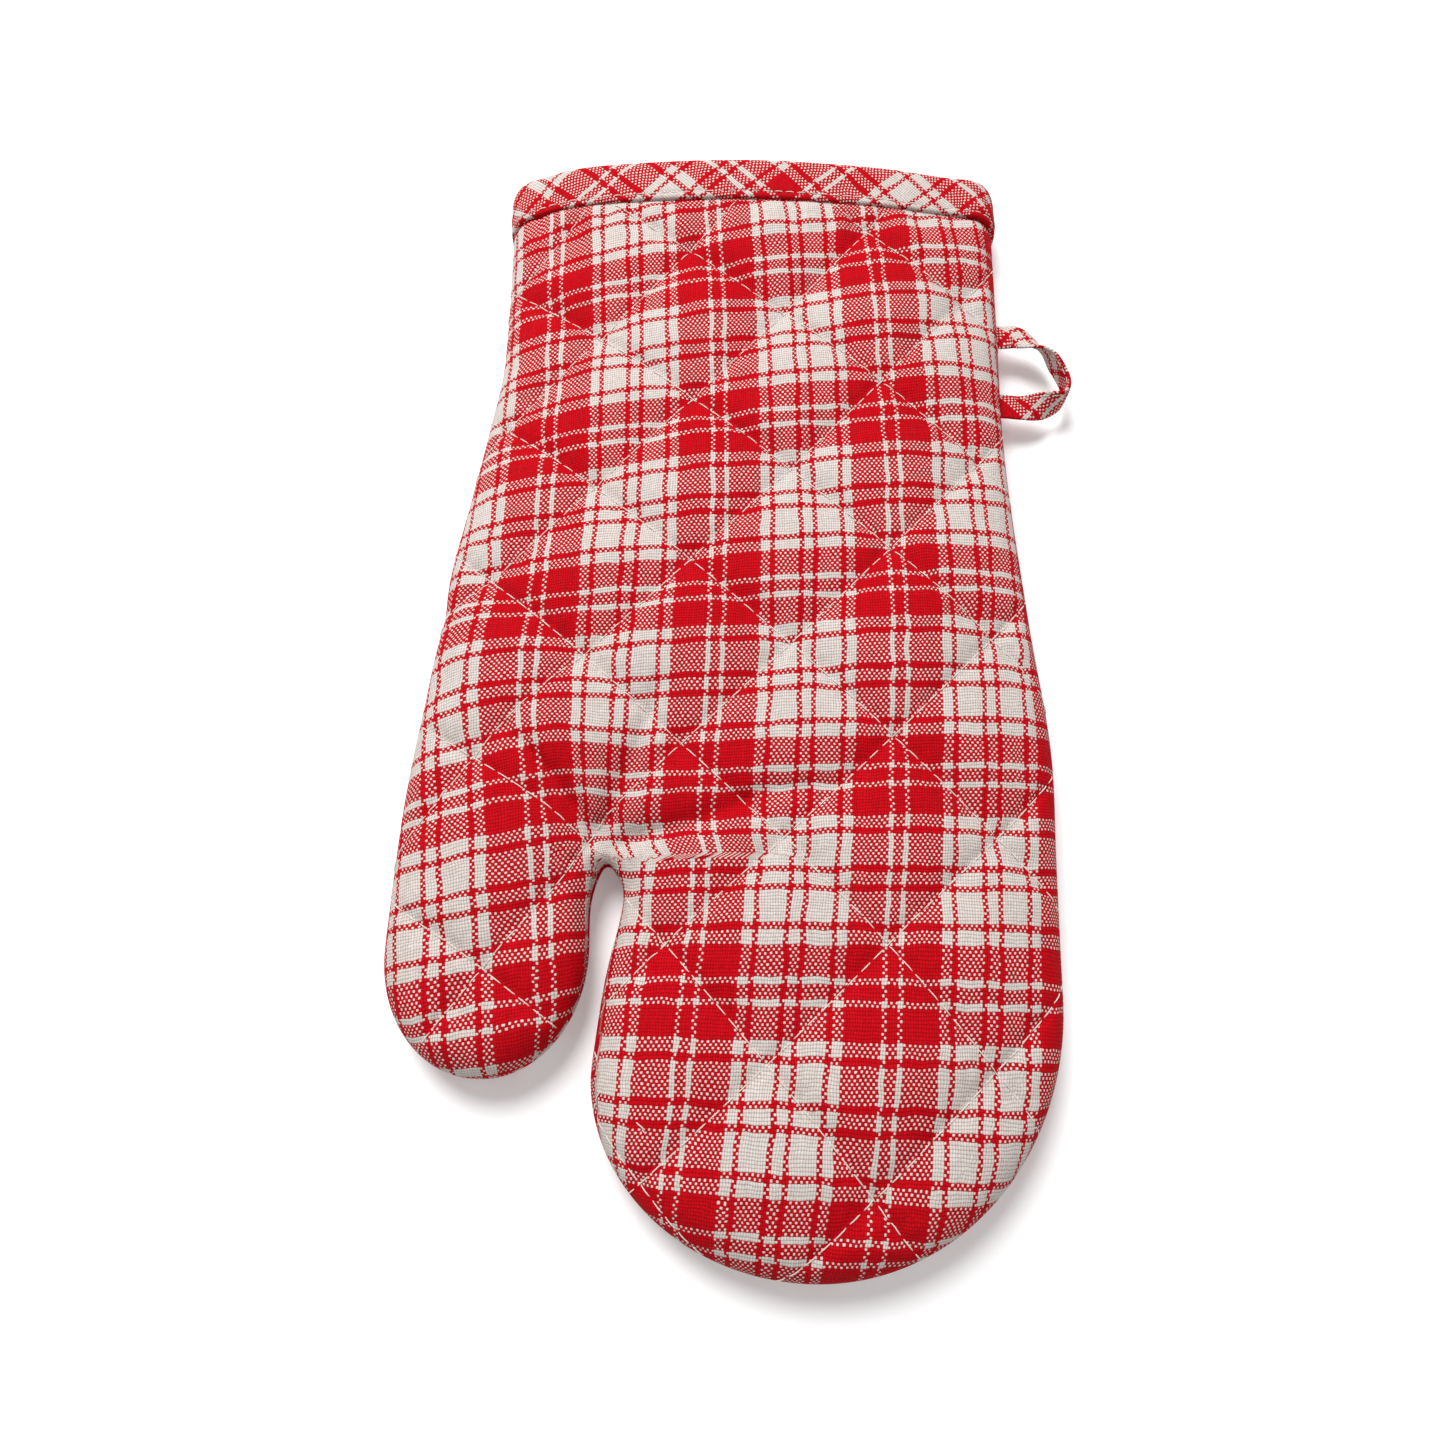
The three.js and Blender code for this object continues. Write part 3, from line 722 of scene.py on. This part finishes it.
def dashes(points, normals, stitch, gap, sink=0.12, rise=0.22):
    """Cuts a line on the cloth into stitches whose ends dip into it."""
    step = np.linalg.norm(np.diff(points, axis=0), axis=1)
    run = np.concatenate([[0], np.cumsum(step)])
    at = gap / 2
    while at + stitch < run[-1]:
        places = np.linspace(at, at + stitch, 9)
        line = np.stack([np.interp(places, run, points[:, k]) for k in range(3)], 1)
        way = np.stack([np.interp(places, run, normals[:, k]) for k in range(3)], 1)
        way /= np.linalg.norm(way, axis=1)[:, None]
        arch = np.sin(np.linspace(0, math.pi, 9)) ** 0.5
        yield line + way * (arch * (sink + rise) - sink)[:, None], way
        at += stitch + gap


def plan_from_cloth(cloth):
    """The plan point under a cloth point: cloth_at turned round, by steps."""
    plan = np.tile([0.0, LENGTH / 2], (len(cloth), 1))
    for _ in range(40):
        plan += 0.8 * (cloth - cloth_at(plan)) * [1, -1]
    return plan


def on_side(side, flat):
    """Where points of the flattened panel lie on a side; points off it are left out."""
    sheet, found, points, normals = side["sheet"], [], [], []
    for i, (x, y) in enumerate(flat):
        hit, _, face, distance = side["tree"].find_nearest(Vector((x, y, 0)))
        if hit is None or distance > 0.05:
            continue
        corners = list(side["faces"][face])
        share = np.array(interpolate.poly_3d_calc([Vector(sheet[c]) for c in corners], hit))
        found.append(i)
        points.append(share @ side["co"][corners])
        normals.append(share @ side["normal"][corners])
    return np.array(found, int), np.array(points), np.array(normals)


def quilting(side, strands):
    """Adds the diagonal stitch lines of one side to the three bodies' strands."""
    t = np.arange(-9, 9, 0.016)
    for family in (0, 1):
        for line in range(-6, 7):
            fields = (np.full_like(t, line), t) if family == 0 else (t, np.full_like(t, line))
            ab = np.stack([fields[0] + fields[1], fields[0] - fields[1]], 1)
            flat = plan_from_cloth(np.array(QUILT_ORIGIN) + ab * QUILT_HALF)
            near = (flat[:, 1] > -8) & (flat[:, 1] < BINDING_Y) & (np.abs(flat[:, 0] + 25) < 120)
            if near.sum() < 5:
                continue
            flat = flat[near]
            found, points, normals = on_side(side, flat)
            if len(found) < 5:
                continue
            distance, _ = nearest(points[:, :2], OUTLINE)
            height = np.abs(points[:, 2] - SEAM_Z)
            good = (height > 2.2) & (points[:, 1] < BINDING_Y - 0.5)
            jump = np.linalg.norm(np.diff(points, axis=0), axis=1) > 2.5
            cuts = np.nonzero(jump | ~good[1:] | ~good[:-1])[0] + 1
            for piece in np.split(np.arange(len(points)), cuts):
                if len(piece) < 8:
                    continue
                for path, way in dashes(points[piece], normals[piece], STITCH, STITCH_GAP):
                    body = BODY_NAMES[int(region_of(path[4:5])[0])]
                    strands[body].add(path, way, THREAD_RADIUS)


# ---- The cuff's tape and the hang loop ----

# The tape's section as (from the cuff's edge, out of the quilt): round the outside to the inside, and back.
TAPE_OUTSIDE = [(TAPE - 0.4, -1.6), (TAPE, -0.4), (TAPE - 0.2, 0.35), (TAPE - 1.2, 0.8), (TAPE - 2.4, 0.5),
                (TAPE - 3.6, 0.9), (8.0, 1.3), (4.5, 1.35), (2.2, 0.9), (0.7, -0.2), (0.0, -1.9), (0.6, -3.7),
                (2.2, -4.6), (5.0, -5.0), (10.0, -5.0), (13.0, -4.9), (13.4, -4.5)]
TAPE_INSIDE = [(12.8, -4.15), (10.0, -4.25), (5.0, -4.25), (2.8, -3.7), (1.7, -2.2), (2.4, -0.6), (4.5, 0.2),
               (8.0, 0.2), (TAPE - 2.5, -0.4)]
BIAS = math.sqrt(0.5)  # turns the tape's check by 45 degrees
SECTION_STEP = 1.4  # round the cuff
TOPSTITCH_IN = 2.4  # from the tape's sewn edge


def closed_section(palm_section, back_section):
    """The cuff's outline in x and z as a smooth closed line of even steps, and its way out."""
    line = np.concatenate([palm_section, back_section[::-1]])
    line = resample(np.concatenate([line, line[:1]]), SECTION_STEP)[:-1]
    for _ in range(3):
        line = (np.roll(line, 1, 0) + 2 * line + np.roll(line, -1, 0)) / 4
    tangent = np.roll(line, -1, 0) - np.roll(line, 1, 0)
    out = np.stack([tangent[:, 1], -tangent[:, 0]], 1)
    return line, out / np.linalg.norm(out, axis=1)[:, None]


def smooth_path(points, step):
    """A finer line through the points, with even steps."""
    points = np.asarray(points, float)
    t = np.arange(len(points))
    fine = np.linspace(0, len(points) - 1, 12 * len(points))
    columns = [through(list(zip(t, points[:, k])), fine) for k in range(points.shape[1])]
    return resample(np.stack(columns, 1), step)


def cuff_tape(line, out):
    """The bias tape folded over the cuff's edge: its section swept round the cuff, a little puckered."""
    profile = smooth_path(TAPE_OUTSIDE, 0.55)
    outside = len(profile)
    profile = np.concatenate([profile, smooth_path(TAPE_INSIDE, 0.8)])
    profile[:, 0] = LENGTH - profile[:, 0]
    rows, columns = len(profile), len(line)
    along = np.arange(columns) * SECTION_STEP
    across = np.concatenate([[0], np.cumsum(np.linalg.norm(np.diff(profile, axis=0), axis=1))])
    fade = np.clip(np.arange(rows) / outside, 0, 1)
    pucker = 0.16 * np.sin(along / 1.25 + 2 * np.sin(along / 11)) + 0.3 * np.sin(along / 17 + 1)
    near_edge = np.exp(-((profile[:, 0] - BINDING_Y - 5) / 4) ** 2)
    on_outside = np.where(np.arange(rows) < outside, near_edge, 0.3)
    offset = profile[:, 1][:, None] + pucker[None, :] * on_outside[:, None]
    y = profile[:, 0][:, None] + 0.25 * np.sin(along / 21)[None, :] * (1 - fade)[:, None]
    x = line[None, :, 0] + out[None, :, 0] * offset
    z = line[None, :, 1] + out[None, :, 1] * offset
    points = np.stack([x, y, z], -1)
    points[..., 2] = np.maximum(points[..., 2], 0.1)
    faces = []
    for r in range(rows):
        for c in range(columns):
            r2, c2 = (r + 1) % rows, (c + 1) % columns
            faces.append((r * columns + c, r2 * columns + c, r2 * columns + c2, r * columns + c2))
    u = (along[None, :] + across[:, None]) * BIAS
    v = (along[None, :] - across[:, None]) * BIAS
    values = {"cloth_u": u.ravel(), "cloth_v": v.ravel()}
    return make_object("cuff_tape", points.reshape(-1, 3), faces, values)


def cuff_topstitch(line, out):
    """The stitches that hold the tape, just inside its sewn edge."""
    ring = np.concatenate([line, line[:1]])
    way = np.concatenate([out, out[:1]])
    place = np.full(len(ring), BINDING_Y + TOPSTITCH_IN)
    points = np.stack([ring[:, 0] + way[:, 0] * 0.6, place, ring[:, 1] + way[:, 1] * 0.6], 1)
    points[:, 2] = np.maximum(points[:, 2], 0.25)
    normals = np.stack([way[:, 0], np.zeros(len(ring)), way[:, 1]], 1)
    strands = Strands()
    for path, up in dashes(points, normals, 3.1, 1.2, 0.1, 0.2):
        strands.add(path, up, THREAD_RADIUS)
    return strands.object("cuff_topstitch")


TAPE_HALF, TAPE_THICK = 5.0, 0.85  # the loop's folded tape: half its width and half its thickness
LOOP_STEP = 0.8
LOOP_STITCHES_OUT = 3.6  # from the tape's middle


def hang_loop():
    """The folded tape from the side seam out and back, flat at the seam and on edge at its tip."""
    low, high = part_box("hang_loop")
    axis_x = JOINTS["loop_swing"]["pos_m"][0] / MM - TIP_X
    rear = high.y / MM - TIP_Y - TAPE_HALF
    front = low.y / MM - TIP_Y + TAPE_HALF
    reach = high.x / MM - TIP_X - TAPE_THICK - axis_x
    tip = rear - 22
    path = [(-6.5, rear), (0, rear), (0.3 * reach, rear - 0.4), (0.72 * reach, rear - 7),
            (reach, tip + 2), (0.94 * reach, tip - 5), (0.62 * reach, front + 1),
            (0.3 * reach, front), (0, front), (-6.5, front)]
    centre = smooth_path([(axis_x + x, y) for x, y in path], LOOP_STEP)
    count = len(centre)
    along = np.arange(count) * LOOP_STEP
    centre = np.column_stack([centre, np.full(count, SEAM_Z)])
    share = along / along[-1]
    sag = 1.6 * smoothstep(0.35, 0.75, share) * (1 - smoothstep(0.8, 1, share))
    centre[:, 2] += 0.6 * np.sin(share * math.pi) - sag
    tangent = np.gradient(centre, axis=0)
    tangent /= np.linalg.norm(tangent, axis=1)[:, None]
    up = np.array([0, 0, 1.0])
    outward = np.cross(up, tangent)
    outward /= np.linalg.norm(outward, axis=1)[:, None]
    twist = math.pi / 2 * smoothstep(0.14, 0.42, np.minimum(share, 1 - share))
    across = -outward * np.cos(twist)[:, None] + up * np.sin(twist)[:, None]
    normal = np.cross(tangent, across)
    turn = np.linspace(0, 2 * math.pi, 28, endpoint=False)
    cos, sin = np.cos(turn), np.sin(turn)
    width = np.sign(cos) * np.abs(cos) ** 0.45 * TAPE_HALF
    thick = np.sign(sin) * np.abs(sin) ** 0.6 * TAPE_THICK
    groove = 0.35 * np.exp(-((width - LOOP_STITCHES_OUT) / 0.6) ** 2)
    stitched = 1 - groove - 0.15 * np.exp(-((width + 3.9) / 0.7) ** 2)
    bulge = 1 + 0.12 * np.sin(along / 3.1)[:, None] * np.cos(width / 3)[None, :]
    offset = thick[None, :] * stitched[None, :] * bulge
    points = centre[:, None, :] + across[:, None, :] * width[None, :, None]
    points = points + normal[:, None, :] * offset[..., None]
    faces = []
    sides = len(turn)
    for r in range(count - 1):
        for k in range(sides):
            a, b = r * sides + k, r * sides + (k + 1) % sides
            faces.append((a, b, b + sides, a + sides))
    faces.append(tuple(range(sides))[::-1])
    faces.append(tuple(range((count - 1) * sides, count * sides)))
    u = (along[:, None] + width[None, :]) * BIAS + 21
    v = (along[:, None] - width[None, :]) * BIAS + 6
    values = {"cloth_u": u.ravel(), "cloth_v": v.ravel()}
    o = make_object("loop_tape", points.reshape(-1, 3), faces, values)
    strands = Strands()
    outside_seam = centre[:, 0] > axis_x + 0.5
    for face in (1, -1):
        edge = centre + across * LOOP_STITCHES_OUT + normal * face * TAPE_THICK * 0.72
        stitches = dashes(edge[outside_seam], (normal * face)[outside_seam], 2.6, 1.1, 0.08, 0.12)
        for stitch, way in stitches:
            strands.add(stitch, way, 0.16)
    thread = strands.object("loop_stitches")
    for piece in (o, thread):
        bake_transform(piece)
    return o, thread


# ---- Materials ----


class Shader:
    """Short names for building one material's nodes."""

    def __init__(self, name, roughness):
        self.material = bpy.data.materials.new(name)
        self.material.use_nodes = True
        self.tree = self.material.node_tree
        self.surface = self.tree.nodes["Principled BSDF"]
        self.surface.inputs["Roughness"].default_value = roughness
        self.surface.inputs["Specular IOR Level"].default_value = 0.06

    def set(self, socket, value):
        if isinstance(value, bpy.types.NodeSocket):
            self.tree.links.new(value, socket)
        elif isinstance(value, tuple) and len(value) == 3 and socket.type == "RGBA":
            socket.default_value = (*value, 1)
        else:
            socket.default_value = value

    def node(self, kind, output=0, settings=None, **inputs):
        node = self.tree.nodes.new(kind)
        for key, value in (settings or {}).items():
            setattr(node, key, value)
        for key, value in inputs.items():
            socket = node.inputs[int(key[1:])] if key[0] == "_" else node.inputs[key.replace("_", " ")]
            self.set(socket, value)
        return node.outputs[output]

    def math(self, operation, *values):
        return self.node("ShaderNodeMath", settings={"operation": operation},
                         **{f"_{i}": v for i, v in enumerate(values)})

    def value(self, name):
        return self.node("ShaderNodeAttribute", 2, {"attribute_name": name})

    def mix(self, factor, a, b, blend="MIX"):
        node = self.tree.nodes.new("ShaderNodeMix")
        node.data_type, node.blend_type = "RGBA", blend
        self.set(node.inputs[0], factor)
        self.set(node.inputs[6], a)
        self.set(node.inputs[7], b)
        return node.outputs[2]

    def stripes(self, index, order, total):
        """1 in red threads and 0 in white ones, for a thread's whole number."""
        ramp = self.tree.nodes.new("ShaderNodeValToRGB")
        ramp.color_ramp.interpolation = "CONSTANT"
        place = self.math("FRACT", self.math("DIVIDE", self.math("ADD", index, order[0] / 2 + 0.5), total))
        self.set(ramp.inputs[0], place)
        at, elements = 0, ramp.color_ramp.elements
        for i, threads in enumerate(order):
            element = elements[i] if i < 2 else elements.new(at / total)
            element.position = at / total
            shade = 1 - i % 2
            element.color = (shade, shade, shade, 1)
            at += threads
        return ramp.outputs[0]


def scaled(colour, shares):
    return tuple(c * k for c, k in zip(colour, shares))


def woven(name, red, white, plain=False):
    """Plain-weave cotton from the cloth coordinates on the mesh, thread by thread, with painted shade where
    threads dip and in the gaps between them.
    """
    s = Shader(name, 0.88)
    u, v = s.value("cloth_u"), s.value("cloth_v")
    where = s.node("ShaderNodeCombineXYZ", X=u, Y=v)
    wander = s.node("ShaderNodeTexNoise", 1, {"noise_dimensions": "2D"}, Vector=where, Scale=0.11, Detail=2.0)
    parts = s.tree.nodes.new("ShaderNodeSeparateColor")
    s.set(parts.inputs[0], wander)
    threads = []
    warp_wise = (u, WARP_REPEAT, WARP_THREADS, 0)
    weft_wise = (v, WEFT_REPEAT, WEFT_THREADS, 1)
    for axis, repeat, total, part in (warp_wise, weft_wise):
        shift = s.math("MULTIPLY", s.math("SUBTRACT", parts.outputs[part], 0.5), 1.6)
        at = s.math("DIVIDE", s.math("ADD", axis, shift), repeat / total)
        index = s.math("FLOOR", at)
        off = s.math("ABSOLUTE", s.math("MULTIPLY_ADD", s.math("FRACT", at), 2.0, -1.0))
        threads.append((index, off))
    (warp, across), (weft, along) = threads
    over = s.math("FLOORED_MODULO", s.math("ADD", warp, weft), 2.0)
    hidden = s.math("MULTIPLY_ADD", s.math("POWER", across, 3.0), -1.0, 1.0)
    bulge = s.math("MULTIPLY_ADD", s.math("POWER", along, 2.0), -0.6, 1.0)
    warp_top = s.math("MULTIPLY", hidden, bulge)
    hidden = s.math("MULTIPLY_ADD", s.math("POWER", along, 3.0), -1.0, 1.0)
    bulge = s.math("MULTIPLY_ADD", s.math("POWER", across, 2.0), -0.6, 1.0)
    weft_top = s.math("MULTIPLY", hidden, bulge)
    height = s.node("ShaderNodeMix", 0, None, _0=over, _2=warp_top, _3=weft_top)
    top_thread = s.node("ShaderNodeCombineXYZ", X=s.math("MULTIPLY", warp, s.math("SUBTRACT", 1.0, over)),
                        Y=s.math("MULTIPLY", weft, over))
    own = s.node("ShaderNodeTexWhiteNoise", 0, {"noise_dimensions": "2D"}, Vector=top_thread)
    patch = s.node("ShaderNodeTexNoise", 0, {"noise_dimensions": "2D"}, Vector=where, Scale=0.55, Detail=3.0)
    if plain:
        colour = s.mix(own, white, scaled(white, (0.93, 0.93, 0.93)))
    else:
        warp_red = s.stripes(warp, WARP_ORDER, WARP_THREADS)
        weft_red = s.stripes(weft, WEFT_ORDER, WEFT_THREADS)
        on_top = s.node("ShaderNodeMix", 0, None, _0=over, _2=warp_red, _3=weft_red)
        beneath = s.node("ShaderNodeMix", 0, None, _0=over, _2=weft_red, _3=warp_red)
        out = s.math("MAXIMUM", s.math("MULTIPLY", across, 0.82), s.math("MULTIPLY", along, 1.06))
        rim = s.node("ShaderNodeMapRange", 0, {"interpolation_type": "SMOOTHSTEP"}, _0=out, _1=0.52, _2=0.8)
        is_red = s.math("MAXIMUM", on_top, s.math("MULTIPLY", beneath, rim))
        reds = s.mix(own, red, scaled(red, (0.86, 0.7, 0.7)))
        whites = s.mix(own, white, scaled(white, (0.95, 0.9, 0.87)))
        colour = s.mix(is_red, whites, reds)
    # Painted shade: each thread darkens towards where it dips under the crossing threads, and the gaps
    # between threads are painted darker still; the mottle multiplied in is the cloth's own uneven tone.
    shade = s.math("MULTIPLY_ADD", height, 0.42, 0.6)
    corner = s.math("ADD", across, along)
    gap_shade = s.node("ShaderNodeMapRange", 0, None, _0=corner, _1=1.45, _2=1.9, _3=1.0, _4=0.5)
    mottle = s.math("MULTIPLY_ADD", patch, 0.3, 0.86)
    shade = s.math("MULTIPLY", s.math("MULTIPLY", shade, gap_shade), mottle)
    shade_and_mottle = s.node("ShaderNodeCombineXYZ", X=shade, Y=shade, Z=shade)
    colour = s.mix(1.0, colour, shade_and_mottle, "MULTIPLY")
    fluff = s.node("ShaderNodeTexNoise", 0, {"noise_dimensions": "2D"}, Vector=where, Scale=1.9, Detail=4.0)
    total = s.math("MULTIPLY_ADD", fluff, 0.5, height)
    bump = s.node("ShaderNodeBump", 0, None, Strength=0.55, Distance=0.00022, Height=total)
    s.set(s.surface.inputs["Base Color"], colour)
    s.set(s.surface.inputs["Normal"], bump)
    return s.material


def thread_material():
    """Off-white sewing thread."""
    s = Shader("cotton_thread", 0.7)
    place = s.node("ShaderNodeTexCoord", 3)
    fibre = s.node("ShaderNodeTexNoise", 0, None, Vector=place, Scale=3500.0, Detail=2.0)
    s.set(s.surface.inputs["Base Color"], s.mix(fibre, (0.76, 0.69, 0.63), (0.62, 0.54, 0.48)))
    bump = s.node("ShaderNodeBump", 0, None, Strength=0.5, Distance=0.0001, Height=fibre)
    s.set(s.surface.inputs["Normal"], bump)
    s.surface.inputs["Sheen Weight"].default_value = 0.2
    return s.material


RED = (0.54, 0.003, 0.009)
WHITE = (0.66, 0.60, 0.565)
LINING_WHITE = (0.68, 0.65, 0.60)

cotton = woven("check_cotton", RED, WHITE)
bias_cotton = woven("bias_cotton", RED, WHITE)
lining_cotton = woven("lining_cotton", RED, LINING_WHITE, plain=True)
thread = thread_material()


def finish_piece(o, material):
    o.data.materials.append(material)
    return o


# ---- The pieces ----

SEAMS_OF = {"hand": ["left", "right", "crotch"], "fingers": ["fingers"], "thumb": ["thumb"]}
sections = []
strands = {body: Strands() for body in BODY_NAMES}
for palm in (True, False):
    name = "palm" if palm else "back"
    side, section = build_side(palm)
    sections.append(section)
    cloth = cloth_at(side["flat"])
    if not palm:
        cloth = cloth + BACK_CLOTH_SHIFT
    values = {"cloth_u": cloth[:, 0], "cloth_v": cloth[:, 1]}
    for body in BODY_NAMES:
        wall = wall_piece(f"{name}_wall_{body}", side, body, WALL_DEPTHS, values)
        finish_piece(wall, cotton)
        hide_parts(f"{name}_shell_{body}", f"{name}_batting_{body}")
        bend(wall, body)
        lining = wall_piece(f"{name}_inside_{body}", side, body, LINING_DEPTHS, values)
        finish_piece(lining, lining_cotton)
        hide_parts(f"{name}_lining_{body}")
        bend(lining, body)
        if palm:
            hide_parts(*[f"seam_allowance_{where}" for where in SEAMS_OF[body]])
    quilting(side, strands)
for body in BODY_NAMES:
    bend(finish_piece(strands[body].object(f"quilting_{body}"), thread), body)

line, out = closed_section(*sections)
tape = finish_piece(cuff_tape(line, out), bias_cotton)
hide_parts("cuff_binding")
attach(tape, "hand")
topstitch = finish_piece(cuff_topstitch(line, out), thread)
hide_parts("binding_topstitch")
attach(topstitch, "hand")
loop, loop_thread = hang_loop()
finish_piece(loop, bias_cotton)
finish_piece(loop_thread, thread)
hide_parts("hang_loop", "loop_tail_front", "loop_tail_rear")

# ---- Floor, light and camera ----

FLOOR_HALF = 0.9  # metres
FLOOR_FADE = (0.4, 0.85)  # from the middle, where the floor turns to plain white


def stage():
    """A pale floor that fades into the white room round it."""
    mesh = bpy.data.meshes.new("floor")
    corners = [(x * FLOOR_HALF, y * FLOOR_HALF, 0) for x, y in ((-1, -1), (1, -1), (1, 1), (-1, 1))]
    mesh.from_pydata(corners, [], [(0, 1, 2, 3)])
    floor = bpy.data.objects.new("floor", mesh)
    bpy.context.scene.collection.objects.link(floor)
    pale = Shader("floor_pale", 0.9)
    place = pale.node("ShaderNodeTexCoord", 3)
    away = pale.node("ShaderNodeVectorMath", 1, {"operation": "LENGTH"}, _0=place)
    start, end = FLOOR_FADE
    fade = pale.node("ShaderNodeMapRange", 0, None, _0=away, _1=start, _2=end, _3=0.0, _4=1.0)
    pale.set(pale.surface.inputs["Base Color"], pale.mix(fade, (0.86, 0.86, 0.86), (0.0, 0.0, 0.0)))
    pale.set(pale.surface.inputs["Emission Strength"], pale.math("MULTIPLY_ADD", fade, 0.84, 0.16))
    pale.surface.inputs["Emission Color"].default_value = (1, 1, 1, 1)
    mesh.materials.append(pale.material)


def area_light(name, place, size, power):
    """A round soft light over the mitt's middle."""
    data = bpy.data.lights.new(name, "AREA")
    data.shape, data.size, data.energy = "DISK", size, power
    o = bpy.data.objects.new(name, data)
    o.location = place
    o.rotation_mode = "QUATERNION"
    o.rotation_quaternion = (-Vector(place)).to_track_quat("-Z", "Y")
    bpy.context.scene.collection.objects.link(o)


stage()
area_light("key", (-0.45, 0.95, 1.5), 1.0, 42)
area_light("fill", (0.9, -0.4, 1.7), 1.6, 5)
# The room gives soft light, and is plain white where the camera looks past the floor.
world = bpy.data.worlds.new("room")
world.use_nodes = True
room = world.node_tree
room.nodes["Background"].inputs["Strength"].default_value = 0.33
room.nodes["Background"].inputs["Color"].default_value = (1, 1, 1, 1)
seen = room.nodes.new("ShaderNodeBackground")
seen.inputs["Color"].default_value = (1, 1, 1, 1)
either = room.nodes.new("ShaderNodeMixShader")
room.links.new(room.nodes.new("ShaderNodeLightPath").outputs["Is Camera Ray"], either.inputs[0])
room.links.new(room.nodes["Background"].outputs[0], either.inputs[1])
room.links.new(seen.outputs[0], either.inputs[2])
room.links.new(either.outputs[0], room.nodes["World Output"].inputs[0])
bpy.context.scene.world = world
bpy.context.scene.view_settings.view_transform = "Standard"

CAMERA_TARGET = Vector((-0.0126, -0.022, 0))
CAMERA_ELEVATION = math.radians(71)
CAMERA_DISTANCE = 0.358
lens = bpy.data.cameras.new("camera")
lens.lens, lens.sensor_width = 26, 36
camera = bpy.data.objects.new("camera", lens)
back = Vector((0, -math.cos(CAMERA_ELEVATION), math.sin(CAMERA_ELEVATION)))
camera.location = CAMERA_TARGET + back * CAMERA_DISTANCE
camera.rotation_mode = "QUATERNION"
camera.rotation_quaternion = (-back).to_track_quat("-Z", "Y")
lens.clip_start, lens.clip_end = 0.01, 20
bpy.context.scene.collection.objects.link(camera)
bpy.context.scene.camera = camera
